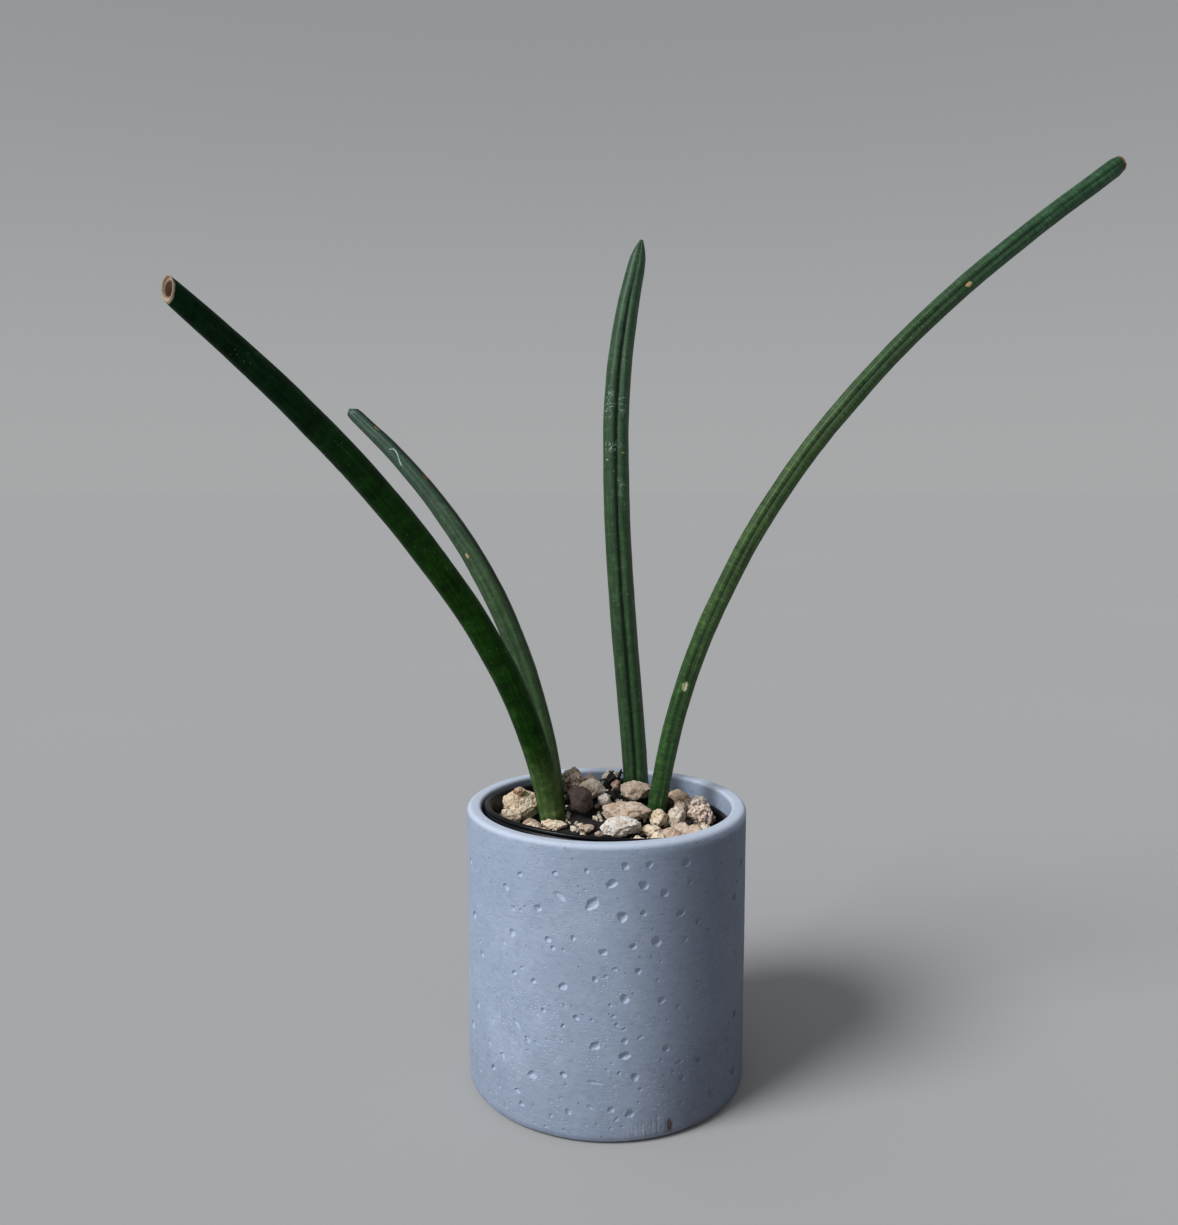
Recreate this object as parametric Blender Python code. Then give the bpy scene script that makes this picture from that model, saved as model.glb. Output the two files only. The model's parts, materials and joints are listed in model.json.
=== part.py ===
"""Potted cylindrical snake plant.

Four rounded, furrowed leaves stand in a black nursery liner filled with dark soil. A loose top
dressing of tan stones and bark lies on the soil. The liner sits a little askew in a cylindrical
concrete cover pot with a pitted wall. The origin is the centre of the pot's flat underside.
"""

import math
import random

import bmesh
import bpy
from mathutils import Euler, Matrix, Vector, noise
from mathutils.bvhtree import BVHTree

MM = 0.001
GAP = 0.0003  # clearance between pieces that touch

# Concrete cover pot
POT_RADIUS = 0.060
POT_HEIGHT = 0.121
POT_INNER_RADIUS = 0.0537
POT_FLOOR = 0.0145
RIM_ROUND = 0.0022
LIP_ROUND = 0.0016
FOOT_ROUND = 0.0040
INNER_CORNER_ROUND = 0.0040
POT_SIDES = 64

# Air-bubble pits in the wall of the pot
PIT_ROWS = 8
PITS_PER_ROW = 10
PIT_LOWEST = 0.011
PIT_HIGHEST = 0.110
PIT_SIZES = (0.0021, 0.0034)
PIT_SPACING = 0.0065  # least distance between the middles of two pits
PIT_DEPTH = 0.36  # reach into the wall, and half the width along and across it, as shares of the width
PIT_LENGTHS = (0.46, 0.62)
PIT_TILT = 0.5
PIT_SEED = 7

# The largest pits on the front: angle in degrees about the axis, height and width in mm
FRONT_PITS = (
    (-60, 112, 3.1),
    (-77, 105, 3.1),
    (-108, 100, 3.4),
    (-96, 98, 4.4),
    (-85, 93, 3.0),
    (-84, 60, 3.1),
    (-127, 44, 3.4),
    (-95, 41, 3.1),
    (-84, 37, 3.4),
    (-95, 26, 3.9),
    (-82, 13, 3.1),
)

# Black nursery liner, in its own frame: its rim plane is at height 0
LINER_RIM_RADIUS = 0.0525
LINER_RIM_BAND = 0.0048  # height of the thicker band that the rim ends in
LINER_RIM_WIDTH = 0.0022
LINER_ROLL = 0.0010  # radius of the rolled edge on top
LINER_GROOVE = 0.0006  # depth of the groove under the roll
LINER_BASE_RADIUS = 0.0380
LINER_HEIGHT = 0.1000
LINER_WALL = 0.0010
LINER_FOOT = 0.0020
LINER_FOOT_WIDTH = 0.0040
LINER_RIM_HEIGHT = 0.1180  # height of the middle of the rim plane above the pot's underside
LINER_SLOPE_X = -0.0667  # how the rim plane rises towards +X and towards +Y
LINER_SLOPE_Y = -0.0690
LINER_SIDES = 56
DRAIN_HOLES = 6
DRAIN_RADIUS = 0.0035
DRAIN_CIRCLE = 0.0230

# Soil
SOIL_LEVEL = 0.1080
SOIL_MOUND = 0.0095
SOIL_MOUND_X = 0.0050
SOIL_MOUND_Y = 0.0280
SOIL_MOUND_SPREAD = 0.0180
SOIL_CRUMB = 0.0007
SOIL_CRUMB_SIZE = 0.006
SOIL_SIDES = 44
SOIL_RINGS = 8
LEAF_DEPTH = 0.032  # how far a leaf goes down into the soil
LEAF_FOOT_DROP = 1.0  # how much steeper it goes there: 0 keeps the slope of its base
LEAF_FOOT_TIP = 0.0012
LEAF_FOOT_NARROWING = 0.18  # share of the width lost at the very foot
LEAF_FOOT_LENGTH = 0.06  # share of the length over which it comes back
LEAF_STEP = 0.0125  # length of leaf from one ring of points to the next
LEAF_SIDES = 24
FURROW_WIDTH = 0.34  # radians from the middle of a furrow to its side
FURROW_FADE = 0.2  # share of the length in which the furrow grows from nothing at either end
HOLE_SIDES = 16
HOLE_ABOVE = 0.010  # how far a hole's cutter stands out of the soil

# Leaves: the centre line above the soil and the width at the base, the middle and the end, in mm.
# A higher taper keeps the width for longer before the end.
LEAVES = {
    "leaf_front_left": {
        "route": ((-23.5, 10, 111), (-34, 2, 154), (-50.5, -9, 193), (-70, -22, 226), (-91, -36, 256),
                  (-111, -52, 281), (-130, -69, 303), (-147, -86, 322)),
        "widths": (11.7, 11.2, 8.4),
        "taper": 1.6,
        "end": "cut",
        "ribs": 5,
        "rib_depth": 0.022,
        "furrow": 0.0,
        "colour": (0.018, 0.075, 0.016),
    },
    "leaf_back_left": {
        "route": ((-25, 27, 125), (-32, 31, 157), (-42, 38, 186), (-56, 45, 215), (-74, 54, 242),
                  (-96, 63, 268), (-120, 72, 291)),
        "widths": (10.2, 10.4, 6.4),
        "taper": 1.6,
        "end": "chisel",
        "ribs": 6,
        "rib_depth": 0.040,
        "furrow": 0.0,
        "colour": (0.022, 0.072, 0.032),
    },
    "leaf_centre": {
        "route": ((14, 29, 123), (10.5, 32, 168), (7, 35, 212), (5, 40, 256), (5.5, 45, 300),
                  (9.5, 49, 336), (13, 51, 355)),
        "widths": (11.3, 11.8, 6.4),
        "taper": 4.5,
        "end": "point",
        "ribs": 6,
        "rib_depth": 0.026,
        "furrow": 0.20,
        "colour": (0.026, 0.085, 0.040),
    },
    "leaf_right": {
        "route": ((22.5, 11, 115), (32.5, 12, 167), (52, 13, 214), (77, 15, 257), (108, 16, 297),
                  (142, 18, 332), (180, 20, 364), (218.5, 22, 393)),
        "widths": (8.0, 8.6, 8.0),
        "taper": 1.6,
        "end": "cut",
        "ribs": 7,
        "rib_depth": 0.034,
        "furrow": 0.09,
        "colour": (0.024, 0.095, 0.028),
    },
}

# Rings that close a leaf's end, as (step along the leaf, share of its outline), and then the step
# to its last point. Steps are in radii of the leaf.
LEAF_ENDS = {
    "cut": (((0.10, 0.94), (0.14, 0.66), (-0.02, 0.30)), 0.02),
    "chisel": (((0.9, 0.80), (1.6, 0.52)), 1.9),
    "point": (((1.5, 0.82), (2.8, 0.54), (3.6, 0.27)), 3.9),
}

# Stones and bark that show: place on the soil, length, depth, height and turn, in mm and degrees.
# They are laid in this order, each on what is already there.
DRESSING = (
    ("stone_large_beige", -38, 12, 15.5, 12, 15.5, 20, "beige"),
    ("bark_chunk", -11, 8, 12.5, 10, 13.5, 15, "bark"),
    ("stone_porous_brown", -15.5, 36, 12, 10, 13.5, 50, "brown"),
    ("stone_cream_pitted", -6, 22.5, 13, 10, 9, -10, "cream"),
    ("bark_black", 4.5, 35, 9.5, 8, 8, 30, "black"),
    ("bark_shard", 5, 26.5, 4.5, 3.5, 6, 60, "brown"),
    ("bark_stick", 3.5, 17.5, 3.6, 4, 7, 10, "black"),
    ("stone_pink_long", 13, 19, 13.5, 9, 8.5, -28, "pink"),
    ("stone_big_brown_pink", 8.5, 3, 19, 13, 10, -8, "pink"),
    ("stone_white_porous", 5.5, -11.5, 17, 12, 10, 10, "white"),
    ("stone_round_beige", 22.5, -2.5, 7.5, 7.5, 9, 0, "beige"),
    ("stone_tan_porous", 41.5, 2.5, 10.5, 11, 9.5, 5, "brown"),
    ("stone_cream_crumb", 40.5, 16.5, 11.5, 9, 9, -15, "cream"),
    ("stone_pale_pink", 30.5, -1, 8, 8, 10, 35, "cream"),
    ("bark_dark", 28.5, 15.5, 4.5, 4.5, 7, 70, "bark"),
    ("stone_pink_tan", 32, 13, 6.5, 6, 7.5, 60, "pink"),
    ("stone_orange_top", 31.5, 24, 10, 8, 8, 15, "rust"),
    ("stone_flat_tan", -22.5, 0, 11.5, 5.5, 5.5, -12, "beige"),
    ("stone_flat_grey", 18.5, -11, 8, 7, 6, 20, "beige"),
    ("stone_pale_yellow", -0.5, 13, 5, 5, 6.5, 0, "white"),
    ("stone_small_pinkish", -9, -7, 7, 6, 5.5, 10, "pink"),
    ("stone_back_right", 24, 34, 11, 8, 6, 30, "beige"),
)

# The rest of the stones: rings of them about the pot's axis, left out where there is no bare soil
FILLER_RINGS = (43.0, 34.0, 25.0, 15.0)
FILLER_SPACING = 10.5  # mm from one to the next along a ring
FILLER_SIZES = (6.5, 11.0)
FILLER_FLATNESS = 0.75
FILLER_HIGHEST = 0.0062  # a filler whose middle would lie higher than this above the soil is left out
FILLER_MOST = 30
LAYING_START = 0.028  # how far above the soil's level a stone is let down from
LAYING_DROP = 0.0008  # the step in which it is let down
LAYING_SPOTS = ((0.0, 1), (1.0, 6), (2.2, 8), (3.6, 10))  # rings of spots tried: radius in mm, how many
LAYING_PULL = 0.0005  # how much lower a spot has to be to be taken, for each mm away from its own
STONE_POINTS = 13
STONE_REACH = (0.84, 1.06)
STONE_TWIST = 0.35
STONE_CLEARANCE = 1.3 * GAP
STONE_SEED = 20

STONE_COLOURS = {
    "beige": (0.62, 0.45, 0.29),
    "cream": (0.68, 0.55, 0.40),
    "white": (0.72, 0.63, 0.52),
    "pink": (0.56, 0.37, 0.25),
    "brown": (0.42, 0.27, 0.16),
    "rust": (0.47, 0.26, 0.12),
    "bark": (0.045, 0.028, 0.020),
    "black": (0.014, 0.012, 0.011),
}


def clear_scene():
    for obj in list(bpy.data.objects):
        bpy.data.objects.remove(obj)


def material(name, colour, roughness, metallic=0.0):
    made = bpy.data.materials.new(name)
    made.use_nodes = True
    shader = made.node_tree.nodes["Principled BSDF"]
    shader.inputs["Base Color"].default_value = (*colour, 1.0)
    shader.inputs["Roughness"].default_value = roughness
    shader.inputs["Metallic"].default_value = metallic
    made.diffuse_color = (*colour, 1.0)
    return made


def add_object(name, bm, finish=None, sharp_angle=40.0):
    """Links the finished mesh to the scene, shaded smooth except over its sharp edges."""
    bmesh.ops.recalc_face_normals(bm, faces=bm.faces)
    mesh = bpy.data.meshes.new(name)
    bm.to_mesh(mesh)
    bm.free()
    mesh.shade_smooth()
    mesh.set_sharp_from_angle(angle=math.radians(sharp_angle))
    obj = bpy.data.objects.new(name, mesh)
    bpy.context.scene.collection.objects.link(obj)
    if finish:
        mesh.materials.append(finish)
    return obj


def hide_cutter(cutter):
    cutter.hide_render = True
    cutter.display_type = "WIRE"


def cut(obj, cutter):
    hide_cutter(cutter)
    modifier = obj.modifiers.new("cut " + cutter.name, "BOOLEAN")
    modifier.operation = "DIFFERENCE"
    modifier.object = cutter
    modifier.solver = "EXACT"


def arc(centre_r, centre_z, radius, start, end, steps):
    """Points of a round stretch of a turned outline, with its angles in degrees."""
    angles = [math.radians(start + (end - start) * k / steps) for k in range(steps + 1)]
    return [(centre_r + radius * math.cos(a), centre_z + radius * math.sin(a)) for a in angles]


def skin(bm, rings, sides):
    """Joins rings of points by faces; a ring of one point closes an end."""
    for low, high in zip(rings, rings[1:]):
        for k in range(sides):
            corners = [low[k % len(low)], low[(k + 1) % len(low)]]
            corners += [high[(k + 1) % len(high)], high[k % len(high)]]
            bm.faces.new(dict.fromkeys(corners))


def turned(profile, sides):
    """A closed body of revolution. The outline starts and ends on the axis."""
    bm = bmesh.new()
    rings = []
    for radius, height in profile:
        if radius == 0:
            rings.append([bm.verts.new((0, 0, height))])
            continue
        angles = [2 * math.pi * k / sides for k in range(sides)]
        points = [(radius * math.cos(a), radius * math.sin(a), height) for a in angles]
        rings.append([bm.verts.new(point) for point in points])
    skin(bm, rings, sides)
    return bm


def make_pot():
    outline = [(0, 0), (POT_RADIUS - FOOT_ROUND, 0)]
    outline += arc(POT_RADIUS - FOOT_ROUND, FOOT_ROUND, FOOT_ROUND, -90, 0, 4)[1:]
    outline += arc(POT_RADIUS - RIM_ROUND, POT_HEIGHT - RIM_ROUND, RIM_ROUND, 0, 90, 3)
    outline += arc(POT_INNER_RADIUS + LIP_ROUND, POT_HEIGHT - LIP_ROUND, LIP_ROUND, 90, 180, 3)
    corner = INNER_CORNER_ROUND
    outline += arc(POT_INNER_RADIUS - corner, POT_FLOOR + corner, corner, 0, -90, 3)
    outline += [(0, POT_FLOOR)]
    concrete = material("concrete", (0.27, 0.31, 0.40), 0.82)
    return add_object("cover_pot", turned(outline, POT_SIDES), concrete)


def on_wall(angle, height):
    return Vector((POT_RADIUS * math.cos(angle), POT_RADIUS * math.sin(angle), height))


def pit_places():
    """The pits of the wall, as (angle, height, width): the large front ones, then rows of others."""
    draw = random.Random(PIT_SEED)
    pits = [(math.radians(a), height * MM, width * MM) for a, height, width in FRONT_PITS]
    for row in range(PIT_ROWS):
        for k in range(PITS_PER_ROW):
            angle = 2 * math.pi * (k + 0.5 * (row % 2) + draw.uniform(-0.28, 0.28)) / PITS_PER_ROW
            share = (row + 0.5 + draw.uniform(-0.3, 0.3)) / PIT_ROWS
            height = PIT_LOWEST + (PIT_HIGHEST - PIT_LOWEST) * share
            width = draw.uniform(*PIT_SIZES)
            place = on_wall(angle, height)
            if min((place - on_wall(a, z)).length for a, z, _ in pits) > PIT_SPACING:
                pits.append((angle, height, width))
    return pits


def make_pits(pot):
    """Cuts each pit with a rounded body whose middle lies on the wall."""
    draw = random.Random(PIT_SEED)
    bm = bmesh.new()
    for angle, height, width in pit_places():
        turn = Euler((draw.uniform(-PIT_TILT, PIT_TILT), 0, angle)).to_matrix().to_4x4()
        lengths = (PIT_DEPTH, draw.uniform(*PIT_LENGTHS), PIT_LENGTHS[0])
        shape = Matrix.Diagonal((*(width * length for length in lengths), 1))
        matrix = Matrix.Translation(on_wall(angle, height)) @ turn @ shape
        bmesh.ops.create_icosphere(bm, subdivisions=1, radius=1, matrix=matrix)
    cut(pot, add_object("pit_cutters", bm))


def liner_turn():
    """The turn that sets the liner askew in the pot."""
    axis = Vector((-LINER_SLOPE_X, -LINER_SLOPE_Y, 1)).normalized()
    return Vector((0, 0, 1)).rotation_difference(axis)


def in_liner(radius, angle, height):
    """A point given round the liner's own axis, with height 0 at its rim."""
    point = liner_turn() @ Vector((radius * math.cos(angle), radius * math.sin(angle), height))
    return point + Vector((0, 0, LINER_RIM_HEIGHT))


def liner_inner_radius(depth):
    """Inner radius of the liner's wall at a depth below its rim plane."""
    share = depth / LINER_HEIGHT
    top = LINER_RIM_RADIUS - LINER_RIM_WIDTH
    return top + (LINER_BASE_RADIUS - LINER_WALL - top) * share


def make_liner():
    """A tapered cup with a rolled rim, a raised bottom inside its foot, and drain holes."""
    base = -LINER_HEIGHT
    foot_inside = LINER_BASE_RADIUS - LINER_FOOT_WIDTH
    bottom = base + LINER_FOOT
    outline = [(0, bottom), (foot_inside - LINER_FOOT, bottom), (foot_inside, base)]
    outline += [(LINER_BASE_RADIUS, base)]
    outline += [(liner_inner_radius(LINER_RIM_BAND) + LINER_WALL, -LINER_RIM_BAND)]
    in_groove = LINER_RIM_RADIUS - LINER_GROOVE
    outline += [(in_groove, -LINER_RIM_BAND), (LINER_RIM_RADIUS, -LINER_RIM_BAND + LINER_GROOVE)]
    outline += [(LINER_RIM_RADIUS, -5 * LINER_GROOVE)]
    outline += [(in_groove, -4 * LINER_GROOVE), (in_groove, -2 * LINER_GROOVE)]
    outline += arc(LINER_RIM_RADIUS - LINER_ROLL, -LINER_ROLL, LINER_ROLL, 0, 160, 3)
    outline += [(liner_inner_radius(LINER_RIM_WIDTH), -LINER_RIM_WIDTH)]
    floor = bottom + LINER_WALL
    outline += [(liner_inner_radius(-floor), floor), (0, floor)]
    finish = material("black_plastic", (0.012, 0.013, 0.016), 0.38)
    liner = add_object("nursery_liner", turned(outline, LINER_SIDES), finish)
    liner.location = (0, 0, LINER_RIM_HEIGHT)
    liner.rotation_mode = "QUATERNION"
    liner.rotation_quaternion = liner_turn()
    bm = bmesh.new()
    for k in range(DRAIN_HOLES):
        angle = 2 * math.pi * k / DRAIN_HOLES
        place = (DRAIN_CIRCLE * math.cos(angle), DRAIN_CIRCLE * math.sin(angle), base)
        bmesh.ops.create_cone(bm, cap_ends=True, segments=12, radius1=DRAIN_RADIUS, radius2=DRAIN_RADIUS,
                              depth=4 * (LINER_FOOT + LINER_WALL), matrix=Matrix.Translation(place))
    cutter = add_object("drain_cutters", bm)
    cutter.parent = liner
    cut(liner, cutter)
    return liner


def soil_height(x, y):
    """Height of the soil: level at the wall, mounded between the leaves, and crumbly."""
    off = ((x - SOIL_MOUND_X) ** 2 + (y - SOIL_MOUND_Y) ** 2) / (2 * SOIL_MOUND_SPREAD**2)
    place = Vector((x, y, 0)) / SOIL_CRUMB_SIZE
    crumbs = noise.noise(place) + 0.5 * noise.noise(2 * place)
    return SOIL_LEVEL + SOIL_MOUND * math.exp(-off) + SOIL_CRUMB * crumbs


def soil_edge(angle):
    """Where the soil's surface meets the liner's wall."""
    depth = LINER_RIM_HEIGHT - SOIL_LEVEL
    for _ in range(8):
        point = in_liner(liner_inner_radius(depth) - GAP, angle, -depth)
        depth += point.z - soil_height(point.x, point.y)
    return point


def make_soil():
    angles = [2 * math.pi * k / SOIL_SIDES for k in range(SOIL_SIDES)]
    base_depth = LINER_HEIGHT - LINER_FOOT - LINER_WALL - GAP
    base_radius = liner_inner_radius(base_depth) - GAP
    bm = bmesh.new()
    rings = [[bm.verts.new(in_liner(0, 0, -base_depth))]]
    rings.append([bm.verts.new(in_liner(base_radius, a, -base_depth)) for a in angles])
    edge = [soil_edge(a) for a in angles]
    for ring in range(SOIL_RINGS, 0, -1):
        points = [point * (ring / SOIL_RINGS) for point in edge]
        rings.append([bm.verts.new((p.x, p.y, soil_height(p.x, p.y))) for p in points])
    rings.append([bm.verts.new((0, 0, soil_height(0, 0)))])
    skin(bm, rings, SOIL_SIDES)
    return add_object("soil", bm, material("potting_soil", (0.012, 0.009, 0.007), 0.95))


def smooth_route(points, count):
    """Evenly spaced points on a smooth curve through the given ones."""
    ends = [2 * points[0] - points[1], *points, 2 * points[-1] - points[-2]]
    fine = []
    for a, b, c, d in zip(ends, ends[1:], ends[2:], ends[3:]):
        for k in range(12):
            t = k / 12
            fine.append(0.5 * (2 * b + (c - a) * t + (2 * a - 5 * b + 4 * c - d) * t**2
                               + (3 * b - a - 3 * c + d) * t**3))
    fine.append(points[-1])
    reach = [0.0]
    for a, b in zip(fine, fine[1:]):
        reach.append(reach[-1] + (b - a).length)
    route = []
    k = 0
    for step in range(count):
        wanted = reach[-1] * step / (count - 1)
        while k < len(fine) - 2 and reach[k + 1] < wanted:
            k += 1
        share = (wanted - reach[k]) / (reach[k + 1] - reach[k])
        route.append(fine[k].lerp(fine[k + 1], share))
    return route


def leaf_route(leaf):
    """The leaf's whole centre line, from its foot in the soil to its end."""
    points = [Vector(point) * MM for point in leaf["route"]]
    down = (points[0] - points[1]).normalized() + LEAF_FOOT_DROP * Vector((0, 0, -1))
    points.insert(0, points[0] + down.normalized() * LEAF_DEPTH)
    length = sum((b - a).length for a, b in zip(points, points[1:]))
    return smooth_route(points, round(length / LEAF_STEP) + 1)


def leaf_width(leaf, share):
    """Width at a share of the length, from three widths, drawn in at the foot."""
    base, middle, end = (width * MM for width in leaf["widths"])
    if share < 0.5:
        width = base + (middle - base) * share * 2
    else:
        width = middle + (end - middle) * (share * 2 - 1) ** leaf["taper"]
    return width * (1 - LEAF_FOOT_NARROWING * max(0.0, 1 - share / LEAF_FOOT_LENGTH))


def leaf_section(leaf, angle, share):
    """Share of the full radius at an angle round the leaf, where 0 faces the front."""
    ribs = leaf["rib_depth"] * (1 + math.cos(leaf["ribs"] * angle)) / 2
    away = math.atan2(math.sin(angle), math.cos(angle)) / FURROW_WIDTH
    furrow = leaf["furrow"] * min(1.0, share / FURROW_FADE, (1 - share) / FURROW_FADE)
    return 1 - ribs - furrow * math.exp(-away * away)


def ring_round(bm, route, k, sides, reach):
    """A ring of points round one point of the route. reach gives the radius at an angle."""
    ahead = (route[min(k + 1, len(route) - 1)] - route[max(k - 1, 0)]).normalized()
    side = ahead.cross(Vector((0, -1, 0))).normalized()
    front = side.cross(ahead)
    angles = [2 * math.pi * step / sides for step in range(sides)]
    spokes = [reach(a) * (front * math.cos(a) + side * math.sin(a)) for a in angles]
    return [bm.verts.new(route[k] + spoke) for spoke in spokes], ahead


def make_leaf(name, leaf):
    route = leaf_route(leaf)
    bm = bmesh.new()
    foot = route[0] + (route[0] - route[1]).normalized() * LEAF_FOOT_TIP
    rings = [[bm.verts.new(foot)]]
    last = len(route) - 1
    for k in range(len(route)):
        share = k / last
        radius = leaf_width(leaf, share) / 2
        ring, ahead = ring_round(bm, route, k, LEAF_SIDES, lambda a: radius * leaf_section(leaf, a, share))
        rings.append(ring)
    spokes = [vert.co - route[last] for vert in ring]
    caps, tip = LEAF_ENDS[leaf["end"]]
    for along, size in caps:
        middle = route[last] + ahead * along * radius
        rings.append([bm.verts.new(middle + spoke * size) for spoke in spokes])
    rings.append([bm.verts.new(route[last] + ahead * tip * radius)])
    skin(bm, rings, LEAF_SIDES)
    bmesh.ops.translate(bm, verts=bm.verts, vec=-route[0])
    made = add_object(name, bm, material(name + "_skin", leaf["colour"], 0.42), 60.0)
    made.location = route[0]
    return made


def cut_leaf_holes(soil):
    """A plain round hole for each leaf, a gap wider than the leaf and a gap deeper."""
    bm = bmesh.new()
    for leaf in LEAVES.values():
        route = leaf_route(leaf)
        last = len(route) - 1
        depth = math.ceil((LEAF_DEPTH + HOLE_ABOVE) / LEAF_STEP)
        bottom = route[0] + (route[0] - route[1]).normalized() * (LEAF_FOOT_TIP + GAP)
        rings = [[bm.verts.new(bottom)]]
        for k in range(depth + 1):
            radius = leaf_width(leaf, k / last) / 2 + 2 * GAP
            ring, ahead = ring_round(bm, route, k, HOLE_SIDES, lambda a: radius)
            rings.append(ring)
        rings.append([bm.verts.new(route[depth] + ahead * GAP)])
        skin(bm, rings, HOLE_SIDES)
    cut(soil, add_object("leaf_hole_cutters", bm))


def stone_mesh(size, turn, draw):
    """A broken stone round the origin: the hull of points drawn on a rounded block."""
    bm = bmesh.new()
    for k in range(STONE_POINTS):
        height = 1 - 2 * (k + 0.5) / STONE_POINTS
        angle = k * math.pi * (3 - math.sqrt(5)) + draw.uniform(-STONE_TWIST, STONE_TWIST)
        across = math.sqrt(1 - height * height)
        point = Vector((across * math.cos(angle), across * math.sin(angle), height))
        bm.verts.new(point * draw.uniform(*STONE_REACH))
    hull = bmesh.ops.convex_hull(bm, input=bm.verts)
    bmesh.ops.delete(bm, geom=[v for v in hull["geom_interior"] if isinstance(v, bmesh.types.BMVert)])
    lows = [min(v.co[axis] for v in bm.verts) for axis in range(3)]
    highs = [max(v.co[axis] for v in bm.verts) for axis in range(3)]
    for vert in bm.verts:
        for axis in range(3):
            share = (vert.co[axis] - lows[axis]) / (highs[axis] - lows[axis]) - 0.5
            vert.co[axis] = share * size[axis]
    bmesh.ops.rotate(bm, verts=bm.verts, matrix=Euler((0, 0, math.radians(turn))).to_matrix())
    return bm


def tree_at(bm, matrix):
    """A search tree of the mesh where the matrix puts it."""
    moved = bm.copy()
    moved.transform(matrix)
    tree = BVHTree.FromBMesh(moved)
    moved.free()
    return tree


def tree_of(obj):
    """A search tree of the object as its modifiers leave it."""
    evaluated = obj.evaluated_get(bpy.context.evaluated_depsgraph_get())
    bm = bmesh.new()
    bm.from_mesh(evaluated.to_mesh())
    tree = tree_at(bm, obj.matrix_world)
    bm.free()
    return tree


def swollen(bm):
    """A copy of the stone with its points moved out by the clearance."""
    copy = bm.copy()
    for vert in copy.verts:
        vert.co += vert.co.normalized() * STONE_CLEARANCE
    return copy


def holds(tree, point):
    """Whether the point lies inside the closed body: a ray up from it crosses an odd number of faces."""
    nearest, normal, _, _ = tree.find_nearest(point)
    if (point - nearest).dot(normal) >= 0:
        return False
    up = Vector((0, 0, 1))
    crossings = 0
    place = tree.ray_cast(point, up)[0]
    while place:
        crossings += 1
        place = tree.ray_cast(place + up * GAP / 10, up)[0]
    return crossings % 2 == 1


def touches(bm, place, trees):
    """Whether the stone, with its middle at the place, touches or lies in anything there."""
    tree = tree_at(bm, Matrix.Translation(place))
    return any(tree.overlap(other) or holds(other, place) for other in trees)


def laid_height(bm, x, y, trees):
    """The height at which the stone, let down at x and y, comes to lie clear of all that is there."""
    drop = LAYING_DROP
    height = SOIL_LEVEL + LAYING_START
    while touches(bm, Vector((x, y, height)), trees):  # under a leaning leaf it starts lower
        height -= drop
        if height < SOIL_LEVEL:
            return math.inf
    while not touches(bm, Vector((x, y, height)), trees):
        height -= drop
    for _ in range(4):
        drop /= 2
        height += drop if touches(bm, Vector((x, y, height)), trees) else -drop
    while touches(bm, Vector((x, y, height)), trees):
        height += drop
    return height


def lay_stone(name, x, y, size, turn, finish, trees, draw, highest=SOIL_LEVEL + LAYING_START):
    """Lays a stone on what is there, at the lowest of a few spots close to its own.

    It makes nothing where the stone would lie higher than asked.
    """
    bm = stone_mesh([length * MM for length in size], turn, draw)
    big = swollen(bm)
    best = None
    for ring, count in LAYING_SPOTS:
        for k in range(count):
            angle = 2 * math.pi * k / count
            spot_x = (x + ring * math.cos(angle)) * MM
            spot_y = (y + ring * math.sin(angle)) * MM
            height = laid_height(big, spot_x, spot_y, trees)
            cost = height + ring * LAYING_PULL
            if best is None or cost < best[0]:
                best = (cost, Vector((spot_x, spot_y, height)))
    big.free()
    if best[0] > highest:
        bm.free()
        return None
    trees.append(tree_at(bm, Matrix.Translation(best[1])))
    made = add_object(name, bm, finish, 25.0)
    made.location = best[1]
    return made


def lay_dressing(trees):
    """The stones and bark that show, then fillers wherever soil is still bare."""
    draw = random.Random(STONE_SEED)
    finishes = {name: material("stone_" + name, colour, 0.9) for name, colour in STONE_COLOURS.items()}
    for name, x, y, length, depth, height, turn, colour in DRESSING:
        if not lay_stone(name, x, y, (length, depth, height), turn, finishes[colour], trees, draw):
            raise ValueError(f"{name} finds no room")
    made = 0
    for radius in FILLER_RINGS:
        count = int(2 * math.pi * radius / FILLER_SPACING)
        for k in range(count):
            angle = 2 * math.pi * (k + draw.uniform(-0.2, 0.2)) / count
            size = [draw.uniform(*FILLER_SIZES) for _ in range(3)]
            size[2] *= FILLER_FLATNESS
            colour = draw.choice(("beige", "cream", "pink", "brown", "beige"))
            x, y = radius * math.cos(angle), radius * math.sin(angle)
            highest = soil_height(x * MM, y * MM) + FILLER_HIGHEST
            name = f"stone_filler_{made + 1:02d}"
            turn = draw.uniform(0, 180)
            if lay_stone(name, x, y, size, turn, finishes[colour], trees, draw, highest):
                made += 1
            if made == FILLER_MOST:
                return


def main():
    clear_scene()
    pot = make_pot()
    make_pits(pot)
    liner = make_liner()
    soil = make_soil()
    cut_leaf_holes(soil)
    leaves = [make_leaf(name, leaf) for name, leaf in LEAVES.items()]
    bpy.context.view_layer.update()
    lay_dressing([tree_of(obj) for obj in (pot, liner, soil, *leaves)])


main()
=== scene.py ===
import json
import math
import random

import bpy
from mathutils import Matrix, Vector, noise


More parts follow.
